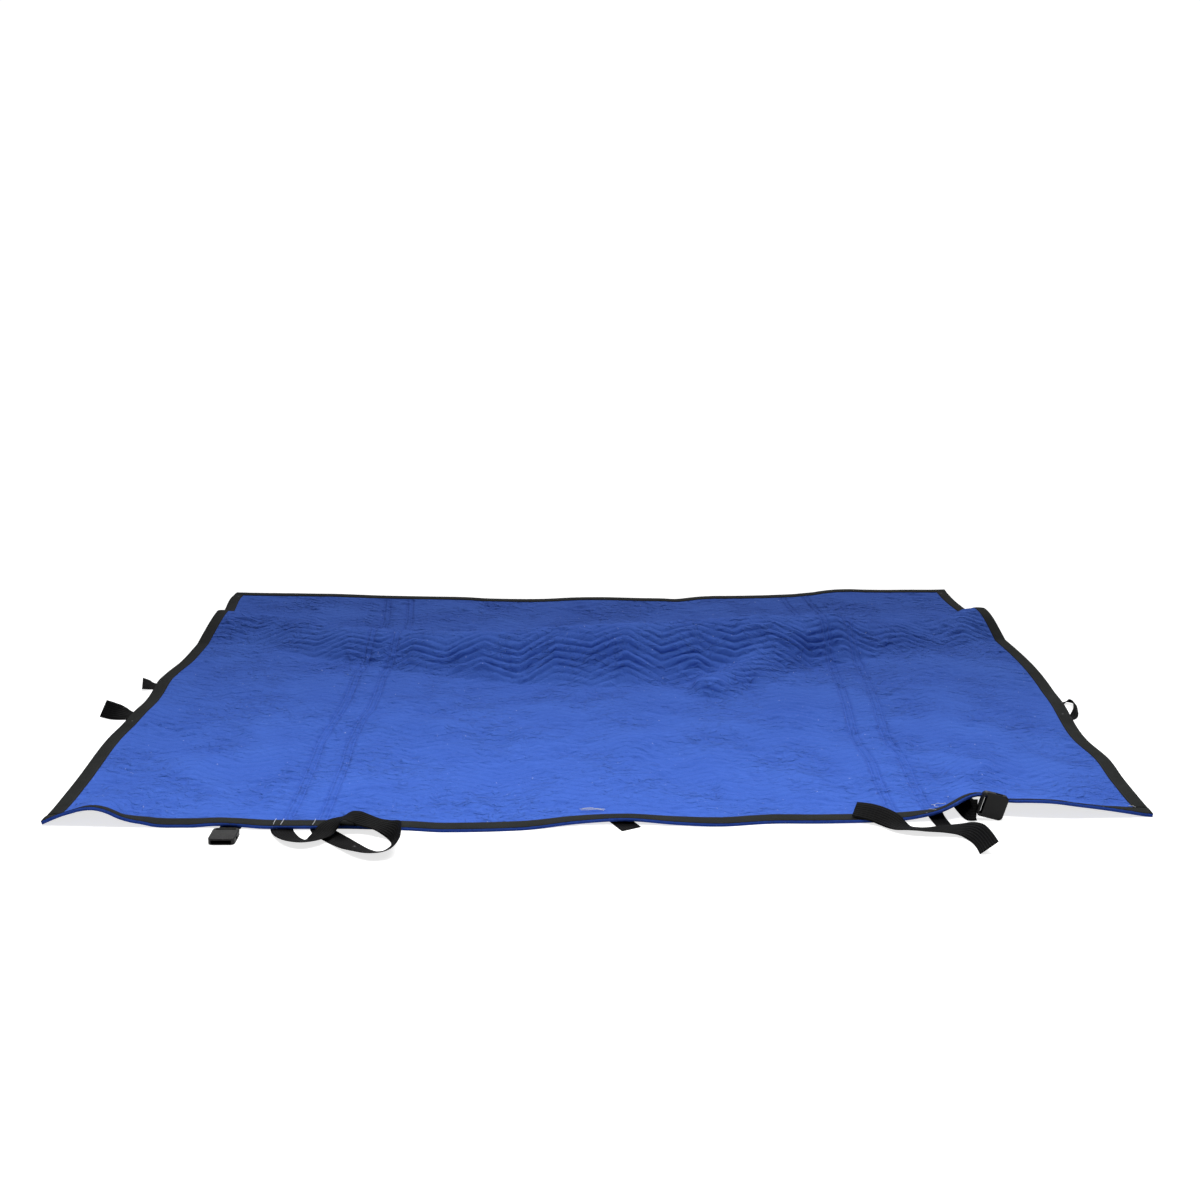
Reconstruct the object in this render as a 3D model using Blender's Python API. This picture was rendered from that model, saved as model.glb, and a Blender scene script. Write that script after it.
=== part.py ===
"""Quilted moving blanket with bound edges, webbing straps and side-release buckles.

The blanket lies spread on a floor with one long rumpled ridge near its back edge.
Units are metres, +Z is up, and +Y runs from the front edge to the back edge.
"""

import math
from bisect import bisect_right
from collections import namedtuple

import bmesh
import bpy
from mathutils import Matrix, Vector

# --------------------------------------------------------------------------------------
# Driving dimensions
# --------------------------------------------------------------------------------------

PANEL_WIDTH = 2.44           # side to side, along the cloth
PANEL_LENGTH = 1.885         # front to back, along the cloth
EDGE_THICKNESS = 0.0072      # pad pressed under the binding tape
STITCH_THICKNESS = 0.0045    # pad pulled down by a row of stitches
PUFF_THICKNESS = 0.0085      # pad between two rows of stitches

TAPE_WIDTH = 0.034
TAPE_THICKNESS = 0.0012

ROW_PITCH = 0.033            # from one zigzag row of stitches to the next
ZIGZAG_PERIOD = 0.205        # from one point of a row to the next
ZIGZAG_RISE = 0.057          # how far a row swings to and fro
ZIGZAG_POINT_X = -0.034      # one point of the rows that faces the front edge
ZIGZAG_EASE = 0.12           # length over which the rows straighten at the front and back
COLUMN_ROOM = 0.030          # least room between a column of points and the side tape
RAISED_COLUMNS = (-1.106, 0.836)    # extra columns through the two raised stretches in front

WEBBING_WIDTH = 0.048
WEBBING_THICKNESS = 0.0018
LOOP_WIDTH = 0.020           # the narrow loop at the right edge
ROLLED_WIDTH = 0.036         # webbing whose edges curl under

BUCKLE_WIDTH = 0.058
BUCKLE_LENGTH = 0.060
BUCKLE_THICKNESS = 0.0145
BUCKLE_CORNER = 0.009        # radius of the corners in plan
BUCKLE_EDGE = 0.0015         # bevel round the top and bottom
MOUTH_WIDTH = 0.044
MOUTH_HEIGHT = 0.0080
MOUTH_DEPTH = 0.038
WINDOW_START = 0.014         # side window, measured from the mouth
WINDOW_LENGTH = 0.017
SLOT_LENGTH = 0.006          # slot for the webbing, near the buckle's back
SLOT_BAR = 0.005             # bar behind that slot

GAP = 0.0004                 # between pieces that touch
MARCH_STEP = 0.004           # step when a length is measured along the cloth
SLOPE_STEP = 0.002           # step when a slope is measured
RIBBON_STEPS = 4             # sections from one station of a strap to the next

RIDGE_START = 0.88           # lengths between which the underside keeps every row
RIDGE_END = 1.66
FRONT_END = 0.34             # length up to which the underside keeps every second row
COARSE_ROWS = 4              # elsewhere the underside keeps one row of these

# --------------------------------------------------------------------------------------
# The lie of the cloth: short tables, a row for each section or fold
# --------------------------------------------------------------------------------------

# The long ridge: crest place and height, and how far it runs to the front and to the back.
Ridge = namedtuple("Ridge", "x crest_y crest_z front_run back_run")
RIDGE = [
    Ridge(-1.24, 1.530, 0.036, 0.24, 0.12),
    Ridge(-1.04, 1.485, 0.034, 0.22, 0.12),
    Ridge(-0.83, 1.345, 0.048, 0.21, 0.12),
    Ridge(-0.63, 1.245, 0.060, 0.20, 0.12),
    Ridge(-0.38, 1.165, 0.080, 0.20, 0.13),
    Ridge(-0.10, 1.130, 0.106, 0.22, 0.14),
    Ridge(0.18, 1.150, 0.115, 0.23, 0.15),
    Ridge(0.44, 1.215, 0.110, 0.23, 0.15),
    Ridge(0.62, 1.285, 0.092, 0.21, 0.14),
    Ridge(0.73, 1.330, 0.076, 0.20, 0.13),
    Ridge(0.90, 1.410, 0.042, 0.19, 0.12),
    Ridge(1.06, 1.430, 0.036, 0.17, 0.12),
    Ridge(1.15, 1.495, 0.050, 0.18, 0.12),
    Ridge(1.24, 1.520, 0.044, 0.18, 0.12),
]

# The front edge: its place, how high it stands off the floor, and how far back that reaches.
Front = namedtuple("Front", "x y lift reach")
FRONT_EDGE = [
    Front(-1.230, -0.0050, 0.0020, 0.10),
    Front(-1.187, -0.0067, 0.0213, 0.10),
    Front(-1.164, -0.0081, 0.0291, 0.14),
    Front(-1.137, -0.0097, 0.0369, 0.18),
    Front(-1.110, -0.0111, 0.0387, 0.18),
    Front(-1.084, -0.0123, 0.0321, 0.15),
    Front(-1.058, -0.0134, 0.0195, 0.10),
    Front(-1.032, -0.0145, 0.0117, 0.10),
    Front(-1.006, -0.0156, 0.0074, 0.10),
    Front(-0.980, -0.0165, 0.0018, 0.10),
    Front(-0.950, -0.0170, 0.0000, 0.10),
    Front(-0.900, -0.0170, 0.0000, 0.10),
    Front(-0.846, -0.0195, 0.0052, 0.14),
    Front(-0.793, -0.0240, 0.0052, 0.14),
    Front(-0.740, -0.0285, 0.0028, 0.14),
    Front(-0.690, -0.0310, 0.0036, 0.14),
    Front(-0.620, -0.0310, 0.0036, 0.14),
    Front(-0.540, -0.0310, 0.0036, 0.14),
    Front(-0.430, -0.0310, 0.0000, 0.10),
    Front(-0.340, -0.0410, 0.0000, 0.10),
    Front(-0.170, -0.0310, 0.0000, 0.10),
    Front(-0.050, -0.0060, 0.0040, 0.10),
    Front(0.060, 0.0000, 0.0080, 0.10),
    Front(0.170, -0.0090, 0.0030, 0.10),
    Front(0.270, -0.0110, 0.0000, 0.10),
    Front(0.380, 0.0040, 0.0000, 0.10),
    Front(0.480, 0.0030, 0.0010, 0.10),
    Front(0.580, 0.0060, 0.0015, 0.10),
    Front(0.633, 0.0095, 0.0020, 0.10),
    Front(0.686, 0.0135, 0.0052, 0.10),
    Front(0.740, 0.0170, 0.0156, 0.10),
    Front(0.766, 0.0210, 0.0234, 0.11),
    Front(0.792, 0.0310, 0.0321, 0.15),
    Front(0.818, 0.0400, 0.0432, 0.21),
    Front(0.845, 0.0450, 0.0481, 0.23),
    Front(0.872, 0.0460, 0.0419, 0.20),
    Front(0.900, 0.0450, 0.0344, 0.16),
    Front(0.926, 0.0405, 0.0341, 0.16),
    Front(0.953, 0.0365, 0.0359, 0.17),
    Front(1.008, 0.0325, 0.0353, 0.17),
    Front(1.062, 0.0320, 0.0282, 0.13),
    Front(1.117, 0.0345, 0.0199, 0.10),
    Front(1.172, 0.0370, 0.0103, 0.10),
    Front(1.216, 0.0390, 0.0022, 0.10),
    Front(1.240, 0.0400, 0.0000, 0.10),
]

# The two side edges in plan.
Side = namedtuple("Side", "y x")
LEFT_EDGE = [
    Side(-0.02, -1.229),
    Side(0.24, -1.232),
    Side(0.50, -1.240),
    Side(0.71, -1.225),
    Side(0.86, -1.226),
    Side(1.00, -1.232),
    Side(1.13, -1.216),
    Side(1.31, -1.211),
    Side(1.52, -1.204),
    Side(1.66, -1.214),
    Side(1.80, -1.226),
    Side(1.88, -1.218),
]
RIGHT_EDGE = [
    Side(0.03, 1.233),
    Side(0.24, 1.234),
    Side(0.37, 1.239),
    Side(0.50, 1.224),
    Side(0.64, 1.229),
    Side(0.80, 1.241),
    Side(1.02, 1.250),
    Side(1.20, 1.243),
    Side(1.42, 1.220),
    Side(1.60, 1.194),
    Side(1.75, 1.172),
    Side(1.86, 1.166),
]

# Soft folds: from one end to the other, with the height and half the width of the fold.
Fold = namedtuple("Fold", "x0 y0 x1 y1 height half_width")
FOLDS = [
    Fold(0.70, 1.300, 0.31, 0.880, 0.034, 0.110),
    Fold(0.90, 0.270, 1.02, 0.560, 0.011, 0.100),
    Fold(-1.12, 0.080, -0.98, 0.350, 0.010, 0.090),
    Fold(-0.60, 0.640, -0.20, 0.560, 0.009, 0.100),
    Fold(0.10, 0.480, 0.48, 0.640, 0.010, 0.100),
]

# Places where webbing passes under a side edge: side is -1 for left and +1 for right.
Tuck = namedtuple("Tuck", "side y lift half_length reach")
TUCKS = [
    Tuck(-1, 0.690, 0.006, 0.11, 0.14),
    Tuck(-1, 0.920, 0.006, 0.10, 0.14),
    Tuck(1, 0.725, 0.006, 0.16, 0.14),
]

# --------------------------------------------------------------------------------------
# Straps: stations along the middle of the webbing. A positive tilt lifts its left side.
# --------------------------------------------------------------------------------------

Station = namedtuple("Station", "x y z tilt")
Numbered = namedtuple("Numbered", ("place", *Station._fields))
LOOP_STRAP = [
    Station(-0.701, -0.010, 0.0011, 0),
    Station(-0.694, -0.037, 0.0011, -2),
    Station(-0.681, -0.064, 0.0030, -7),
    Station(-0.662, -0.090, 0.0060, -14),
    Station(-0.638, -0.103, 0.0080, -18),
    Station(-0.616, -0.093, 0.0080, -15),
    Station(-0.602, -0.069, 0.0090, -3),
    Station(-0.5905, -0.049, 0.0165, 5),
    Station(-0.576, -0.036, 0.0240, -6),
    Station(-0.560, -0.030, 0.0295, -14),
    Station(-0.545, -0.0275, 0.0310, 4),
    Station(-0.530, -0.0255, 0.0275, 16),
    Station(-0.512, -0.028, 0.0225, 9),
    Station(-0.490, -0.036, 0.0190, 4),
    Station(-0.468, -0.047, 0.0180, 12),
    Station(-0.448, -0.064, 0.0190, 36),
    Station(-0.4385, -0.088, 0.0215, 58),
    Station(-0.435, -0.114, 0.0215, 60),
    Station(-0.439, -0.139, 0.0170, 44),
    Station(-0.454, -0.157, 0.0110, 26),
    Station(-0.480, -0.160, 0.0085, 20),
    Station(-0.506, -0.145, 0.0065, 15),
    Station(-0.533, -0.118, 0.0035, 6),
    Station(-0.560, -0.088, 0.0015, 1),
    Station(-0.585, -0.061, 0.0011, 0),
    Station(-0.605, -0.037, 0.0011, 0),
    Station(-0.615, -0.011, 0.0011, 0),
]
STRAP_RIGHT = [
    Station(0.566, 0.034, 0.0226, 20),
    Station(0.602, 0.019, 0.0209, 28),
    Station(0.634, -0.001, 0.0153, 28),
    Station(0.656, -0.022, 0.0090, 6),
    Station(0.678, -0.034, 0.0070, -13),
    Station(0.712, -0.040, 0.0067, -13),
    Station(0.750, -0.040, 0.0075, -5),
    Station(0.782, -0.046, 0.0100, 8),
    Station(0.8015, -0.060, 0.0150, 30),
    Station(0.8125, -0.088, 0.0190, 48),
    Station(0.818, -0.120, 0.0190, 50),
    Station(0.8215, -0.152, 0.0150, 38),
]
WEBBING_RIGHT = [
    Station(0.747, 0.066, 0.0083, 9),
    Station(0.750, 0.030, 0.0045, 2),
    Station(0.757, -0.004, 0.0011, 0),
    Station(0.762, -0.034, 0.0011, 0),
]
WEBBING_BUCKLE_RIGHT = [
    Station(0.823, 0.150, 0.0042, 7),
    Station(0.8235, 0.116, 0.0075, 14),
    Station(0.824, 0.086, 0.0110, 26),
    Station(0.8245, 0.059, 0.0150, 38),
    Station(0.8248, 0.039, 0.0186, 48),
    Station(0.8256, 0.0275, 0.0215, 59),
    Station(0.829, 0.023, 0.0250, 76),
    Station(0.8356, 0.0245, 0.0246, 84),
]
TAB_CENTRE = [
    Station(0.039, 0.031, 0.0011, 0),
    Station(0.052, 0.007, 0.0011, 0),
    Station(0.069, -0.025, 0.0011, 0),
]
WEBBING_LEFT_FRONT = [
    Station(-0.8115, 0.004, 0.0011, 0),
    Station(-0.8115, -0.021, 0.0012, 0),
    Station(-0.8115, -0.035, 0.0056, 0),
    Station(-0.8115, -0.0465, 0.0072, 0),
]
WEBBING_LEFT_LOWER = [
    Station(-1.186, 0.688, 0.0023, 0),
    Station(-1.222, 0.688, 0.0011, 0),
    Station(-1.245, 0.683, 0.0060, -20),
    Station(-1.265, 0.680, 0.0130, -38),
    Station(-1.285, 0.682, 0.0190, -48),
    Station(-1.306, 0.688, 0.0225, -52),
]
WEBBING_LEFT_UPPER = [
    Station(-1.186, 0.925, 0.0023, 0),
    Station(-1.230, 0.923, 0.0011, 0),
    Station(-1.249, 0.918, 0.0085, -14),
    Station(-1.267, 0.912, 0.0150, -24),
]
LOOP_RIGHT = [
    Station(1.205, 0.770, 0.0011, 0),
    Station(1.237, 0.782, 0.0011, 0),
    Station(1.261, 0.786, 0.0080, -40),
    Station(1.271, 0.768, 0.0095, -50),
    Station(1.265, 0.735, 0.0095, -50),
    Station(1.255, 0.700, 0.0080, -40),
    Station(1.236, 0.670, 0.0011, 0),
    Station(1.205, 0.655, 0.0011, 0),
]

# Buckles stand on the floor: place of the middle in plan, and turns in degrees. Unturned, a
# buckle lies flat with its mouth to the front. It is first spun in plan, then stood up.
Seat = namedtuple("Seat", "x y spin stand")
BUCKLE_FRONT_LEFT = Seat(-0.8115, -0.0770, 0, 0)
BUCKLE_FRONT_RIGHT = Seat(0.8700, 0.0285, 75, 90)

# Colours (linear red, green, blue) and finish.
Finish = namedtuple("Finish", "color roughness metallic")
FINISHES = {
    "quilted_cloth": Finish((0.068, 0.150, 0.600), 0.85, 0.0),
    "binding_tape": Finish((0.030, 0.032, 0.030), 0.80, 0.0),
    "webbing": Finish((0.014, 0.014, 0.015), 0.70, 0.0),
    "buckle_plastic": Finish((0.010, 0.010, 0.011), 0.38, 0.0),
}


def read_table(rows, position, column):
    """Return one column's smooth value at a position; the first column is the position."""
    places = [row[0] for row in rows]
    values = [getattr(row, column) for row in rows]
    if position <= places[0]:
        return values[0]
    if position >= places[-1]:
        return values[-1]
    low = bisect_right(places, position) - 1
    high = low + 1
    before = max(low - 1, 0)
    after = min(high + 1, len(rows) - 1)
    span = places[high] - places[low]
    share = (position - places[low]) / span
    leaving = (values[high] - values[before]) / (places[high] - places[before]) * span
    arriving = (values[after] - values[low]) / (places[after] - places[low]) * span
    return hermite(values[low], values[high], leaving, arriving, share)


def hermite(start, end, leaving, arriving, share):
    """Cubic from start to end with the given slopes at its two ends."""
    square = share * share
    cube = square * share
    return (
        (2 * cube - 3 * square + 1) * start
        + (cube - 2 * square + share) * leaving
        + (3 * square - 2 * cube) * end
        + (cube - square) * arriving
    )


def bump(distance, reach):
    """Smooth hill: 1 in the middle, 0 from reach onward."""
    if abs(distance) >= reach:
        return 0.0
    return 0.5 * (1.0 + math.cos(math.pi * distance / reach))


def ridge_height(x, y):
    """Height that the long ridge gives the underside."""
    from_crest = y - read_table(RIDGE, x, "crest_y")
    side = "back_run" if from_crest > 0 else "front_run"
    return read_table(RIDGE, x, "crest_z") * bump(from_crest, read_table(RIDGE, x, side))


def front_height(x, y):
    """Height that the raised stretches of the front edge give the underside."""
    inward = max(y - read_table(FRONT_EDGE, x, "y"), 0.0)
    lift = max(read_table(FRONT_EDGE, x, "lift"), 0.0)
    share = min(inward / read_table(FRONT_EDGE, x, "reach"), 1.0)
    return lift * (1.0 - share) ** 2


def fold_height(fold, x, y):
    """Height of one soft fold, which fades out past its two ends."""
    run = Vector((fold.x1 - fold.x0, fold.y1 - fold.y0))
    offset = Vector((x - fold.x0, y - fold.y0))
    share = min(max(offset.dot(run) / run.length_squared, 0.0), 1.0)
    return fold.height * bump((offset - run * share).length, fold.half_width)


def tuck_height(tuck, x, y):
    """Height that webbing under a side edge gives the underside."""
    edge = LEFT_EDGE if tuck.side < 0 else RIGHT_EDGE
    inward = max(tuck.side * (read_table(edge, y, "x") - x), 0.0)
    return tuck.lift * bump(y - tuck.y, tuck.half_length) * bump(inward, tuck.reach)


def underside(x, y):
    """Height of the cloth's underside above the floor."""
    folds = max(fold_height(fold, x, y) for fold in FOLDS)
    tucks = max(tuck_height(tuck, x, y) for tuck in TUCKS)
    ridge = ridge_height(x, y)
    # a fold that runs into the ridge blends with it rather than standing on top of it
    return math.hypot(ridge, folds) + front_height(x, y) + tucks


def over_underside(place, distance):
    """Point at a distance from the underside, square to it."""
    x, y = place
    height = underside(x, y)
    slope_x = (underside(x + SLOPE_STEP, y) - underside(x - SLOPE_STEP, y)) / (2 * SLOPE_STEP)
    slope_y = (underside(x, y + SLOPE_STEP) - underside(x, y - SLOPE_STEP)) / (2 * SLOPE_STEP)
    normal = Vector((-slope_x, -slope_y, 1.0)).normalized()
    return Vector((x, y, height)) + normal * distance


def plan_x(across, y):
    """Plan x of a column that is 'across' from the panel's middle, measured on the cloth."""
    left = read_table(LEFT_EDGE, y, "x")
    right = read_table(RIGHT_EDGE, y, "x")
    return left + (right - left) * (across / PANEL_WIDTH + 0.5)


def column_places(across, lengths):
    """Plan places at the given lengths from the front edge, measured along the cloth."""
    x = plan_x(across, 0.0)
    y = read_table(FRONT_EDGE, x, "y")
    travelled = 0.0
    places = []
    for length in lengths:
        while length - travelled > 1e-9:
            step = min(MARCH_STEP, length - travelled)
            slope = (underside(x, y + SLOPE_STEP) - underside(x, y)) / SLOPE_STEP
            y += step / math.hypot(1.0, slope)
            x = plan_x(across, y)
            travelled += step
        places.append((x, y))
    return places


def panel_columns():
    """Columns across the panel: its edges, the tape's inner lines and the zigzag's points."""
    half = PANEL_WIDTH / 2
    limit = half - TAPE_WIDTH - COLUMN_ROOM
    step = ZIGZAG_PERIOD / 2
    first = math.ceil((-limit - ZIGZAG_POINT_X) / step)
    last = math.floor((limit - ZIGZAG_POINT_X) / step)
    points = [ZIGZAG_POINT_X + index * step for index in range(first, last + 1)]
    inner = sorted([*points, *RAISED_COLUMNS])
    return [-half, -half + TAPE_WIDTH] + inner + [half - TAPE_WIDTH, half]


def zigzag(across):
    """Swing of the quilting rows: lowest at the points that face the front edge."""
    phase = abs((across - ZIGZAG_POINT_X) / ZIGZAG_PERIOD % 1.0 - 0.5)
    return ZIGZAG_RISE * (0.5 - 2 * phase)


def panel_rows():
    """Lengths of the rows from the front edge, before the zigzag swings them."""
    quilted = PANEL_LENGTH - 2 * TAPE_WIDTH
    count = 2 * round(quilted / ROW_PITCH)
    inner = [TAPE_WIDTH + quilted * index / count for index in range(count + 1)]
    return [0.0] + inner + [PANEL_LENGTH]


def swung_length(length, across):
    """Length of a row's point once the zigzag has swung it; the rows straighten at both ends."""
    front = (length - TAPE_WIDTH) / ZIGZAG_EASE
    back = (PANEL_LENGTH - TAPE_WIDTH - length) / ZIGZAG_EASE
    ease = min(max(min(front, back), 0.0), 1.0)
    return length + zigzag(across) * (3 * ease**2 - 2 * ease**3)


def panel_thickness(row, row_count, column, column_count):
    """Thickness of the pad at a lattice point: stitched rows are thin, the puffs between thick."""
    under_tape = row < 2 or row > row_count - 3 or column < 2 or column > column_count - 3
    if under_tape:
        return EDGE_THICKNESS
    return PUFF_THICKNESS if row % 2 == 0 else STITCH_THICKNESS


def panel_lattice():
    """Plan places of the panel's lattice, a list of rows from front to back."""
    columns = panel_columns()
    rows = panel_rows()
    by_column = [
        column_places(across, [swung_length(length, across) for length in rows])
        for across in columns
    ]
    return [list(row) for row in zip(*by_column)]


def kept_rows(rows):
    """Rows that the underside keeps: all on the ridge, fewer where the cloth lies flat."""
    kept = []
    for index, length in enumerate(rows):
        at_edge = index in (0, 1, len(rows) - 2, len(rows) - 1)
        on_ridge = RIDGE_START < length < RIDGE_END
        in_front = length < FRONT_END and index % 2 == 0
        if at_edge or on_ridge or in_front or index % COARSE_ROWS == 0:
            kept.append(index)
    return kept


def add_object(name, mesh_data, finish):
    """Make a mesh object from a bmesh and give it its finish."""
    mesh = bpy.data.meshes.new(name)
    mesh_data.to_mesh(mesh)
    mesh_data.free()
    mesh.materials.append(material(finish))
    thing = bpy.data.objects.new(name, mesh)
    bpy.context.scene.collection.objects.link(thing)
    return thing


def material(finish_name):
    """Principled material of a named finish, made once."""
    if finish_name in bpy.data.materials:
        return bpy.data.materials[finish_name]
    finish = FINISHES[finish_name]
    made = bpy.data.materials.new(finish_name)
    made.use_nodes = True
    shader = made.node_tree.nodes["Principled BSDF"]
    shader.inputs["Base Color"].default_value = (*finish.color, 1.0)
    shader.inputs["Roughness"].default_value = finish.roughness
    shader.inputs["Metallic"].default_value = finish.metallic
    made.diffuse_color = (*finish.color, 1.0)
    return made


def solid_between(name, top, bottom, kept, finish):
    """Closed solid between two lattices whose columns match.

    Rows run forward and columns run to the right, so that the top faces up. 'kept' gives,
    for each row of the bottom, the row of the top that it lies under.
    """
    mesh = bmesh.new()
    upper = [[mesh.verts.new(point) for point in row] for row in top]
    lower = [[mesh.verts.new(point) for point in row] for row in bottom]
    columns = len(top[0])
    for rows, up in ((upper, True), (lower, False)):
        for near, far in zip(rows, rows[1:]):
            for column in range(columns - 1):
                corners = (near[column], near[column + 1], far[column + 1], far[column])
                add_quad(mesh, corners if up else corners[::-1], up)
    for column in range(columns - 1):
        front = (lower[0][column], lower[0][column + 1], upper[0][column + 1], upper[0][column])
        back = (lower[-1][column + 1], lower[-1][column], upper[-1][column], upper[-1][column + 1])
        add_quad(mesh, front, True)
        add_quad(mesh, back, True)
    for column, is_left in ((0, True), (columns - 1, False)):
        for index, (start, end) in enumerate(zip(kept, kept[1:])):
            rim = [upper[row][column] for row in range(start, end + 1)]
            near = lower[index][column]
            far = lower[index + 1][column]
            for first, second in zip(rim, rim[1:]):
                corners = (near, first, second)
                mesh.faces.new(corners if is_left else corners[::-1])
            corners = (near, rim[-1], far)
            mesh.faces.new(corners if is_left else corners[::-1])
    return add_object(name, mesh, finish)


def add_quad(mesh, corners, forward):
    """Add a quad as two triangles, cut along the same diagonal above and below."""
    a, b, c, d = corners
    if forward:
        mesh.faces.new((a, b, c))
        mesh.faces.new((a, c, d))
    else:
        mesh.faces.new((a, b, d))
        mesh.faces.new((b, c, d))


def build_panel(lattice):
    """The quilted pad: zigzag rows raised in its upper face, an even underside."""
    row_count = len(lattice)
    column_count = len(lattice[0])
    top = [
        [
            over_underside(place, panel_thickness(row, row_count, column, column_count))
            for column, place in enumerate(places)
        ]
        for row, places in enumerate(lattice)
    ]
    kept = kept_rows(panel_rows())
    bottom = [[over_underside(place, 0.0) for place in lattice[row]] for row in kept]
    panel = solid_between("quilted_panel", top, bottom, kept, "quilted_cloth")
    panel.data.shade_smooth()
    return panel


def build_tape(name, lattice):
    """A length of binding tape on the panel's rim, over the given part of the lattice."""
    low = EDGE_THICKNESS + GAP
    bottom = [[over_underside(place, low) for place in row] for row in lattice]
    top = [[over_underside(place, low + TAPE_THICKNESS) for place in row] for row in lattice]
    return solid_between(name, top, bottom, list(range(len(lattice))), "binding_tape")


def moved_toward(start, end, distance):
    """Plan place at a distance from start, on the way to end."""
    run = Vector(end) - Vector(start)
    return tuple(Vector(start) + run.normalized() * distance)


def build_tapes(lattice):
    """Four lengths of tape: front and back run the full width, the sides fit between them."""
    build_tape("binding_front", lattice[:2])
    build_tape("binding_back", lattice[-2:])
    inner = lattice[1:-1]
    for name, columns in (("binding_left", slice(0, 2)), ("binding_right", slice(-2, None))):
        side = [row[columns] for row in inner]
        first = [moved_toward(a, b, GAP) for a, b in zip(side[0], side[1])]
        last = [moved_toward(a, b, GAP) for a, b in zip(side[-1], side[-2])]
        build_tape(name, [first] + side[1:-1] + [last])


def ribbon_sections(stations):
    """Points and tilts along a strap, on a smooth curve through its stations."""
    numbered = [Numbered(place, *station) for place, station in enumerate(stations)]
    count = (len(stations) - 1) * RIBBON_STEPS
    sections = []
    for index in range(count + 1):
        place = index / RIBBON_STEPS
        values = [read_table(numbered, place, column) for column in Station._fields]
        sections.append(Station(*values))
    return sections


def build_ribbon(name, stations, width=WEBBING_WIDTH):
    """A strap of flat webbing that follows its stations."""
    sections = ribbon_sections(stations)
    points = [Vector(section[:3]) for section in sections]
    top = []
    bottom = []
    for index, section in enumerate(sections):
        ahead = points[min(index + 1, len(points) - 1)]
        behind = points[max(index - 1, 0)]
        heading = (ahead - behind).normalized()
        level_left = Vector((-heading.y, heading.x, 0.0)).normalized()
        left = Matrix.Rotation(math.radians(section.tilt), 3, heading) @ level_left
        up = heading.cross(left)
        across = left * width / 2
        thick = up * WEBBING_THICKNESS / 2
        point = points[index]
        lowest = point.z - abs(across.z) - abs(thick.z)
        point = point + Vector((0.0, 0.0, max(-lowest, 0.0)))
        top.append([point + thick + across, point + thick - across])
        bottom.append([point - thick + across, point - thick - across])
    strap = solid_between(name, top, bottom, list(range(len(top))), "webbing")
    strap.data.shade_smooth()
    strap.data.set_sharp_from_angle(angle=math.radians(40))
    return strap


def add_box(name, size, middle):
    """Plain box used as a cutter."""
    mesh = bmesh.new()
    bmesh.ops.create_cube(mesh, size=1.0)
    bmesh.ops.scale(mesh, vec=size, verts=mesh.verts)
    bmesh.ops.translate(mesh, vec=middle, verts=mesh.verts)
    box = add_object(name, mesh, "buckle_plastic")
    box.hide_render = True
    box.display_type = "WIRE"
    return box


def buckle_body():
    """Buckle's outer block: rounded corners in plan and a small bevel above and below."""
    mesh = bmesh.new()
    bmesh.ops.create_cube(mesh, size=1.0)
    size = (BUCKLE_WIDTH, BUCKLE_LENGTH, BUCKLE_THICKNESS)
    bmesh.ops.scale(mesh, vec=size, verts=mesh.verts)
    upright = [edge for edge in mesh.edges if abs(edge.verts[0].co.z - edge.verts[1].co.z) > GAP]
    bmesh.ops.bevel(
        mesh, geom=upright, offset=BUCKLE_CORNER, segments=3, profile=0.5, affect="EDGES"
    )
    level = [edge for edge in mesh.edges if abs(edge.verts[0].co.z - edge.verts[1].co.z) < GAP]
    rim = [edge for edge in level if len({face.normal.z > 0.5 for face in edge.link_faces}) > 1]
    rim += [edge for edge in level if len({face.normal.z < -0.5 for face in edge.link_faces}) > 1]
    bmesh.ops.bevel(
        mesh, geom=list(set(rim)), offset=BUCKLE_EDGE, segments=1, profile=0.5, affect="EDGES"
    )
    return mesh


def build_buckle(name, seat):
    """Female half of a side-release buckle: mouth, side windows and a slot for the webbing."""
    body = add_object(name, buckle_body(), "buckle_plastic")
    front = -BUCKLE_LENGTH / 2
    back = BUCKLE_LENGTH / 2
    cuts = {
        "mouth": (
            (MOUTH_WIDTH, 2 * MOUTH_DEPTH, MOUTH_HEIGHT),
            (0.0, front, 0.0),
        ),
        "windows": (
            (2 * BUCKLE_WIDTH, WINDOW_LENGTH, MOUTH_HEIGHT),
            (0.0, front + WINDOW_START + WINDOW_LENGTH / 2, 0.0),
        ),
        "slot": (
            (MOUTH_WIDTH, SLOT_LENGTH, 2 * BUCKLE_THICKNESS),
            (0.0, back - SLOT_BAR - SLOT_LENGTH / 2, 0.0),
        ),
    }
    for cut_name, (size, middle) in cuts.items():
        cutter = add_box(f"{name}_{cut_name}", size, middle)
        cut = body.modifiers.new(cut_name, "BOOLEAN")
        cut.operation = "DIFFERENCE"
        cut.object = cutter
        cutter.parent = body
    spin = Matrix.Rotation(math.radians(seat.spin), 4, "Z")
    stand = Matrix.Rotation(math.radians(seat.stand), 4, "X")
    turn = stand @ spin
    lowest = min((turn @ vertex.co).z for vertex in body.data.vertices)
    body.matrix_world = Matrix.Translation((seat.x, seat.y, -lowest)) @ turn
    return body


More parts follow.
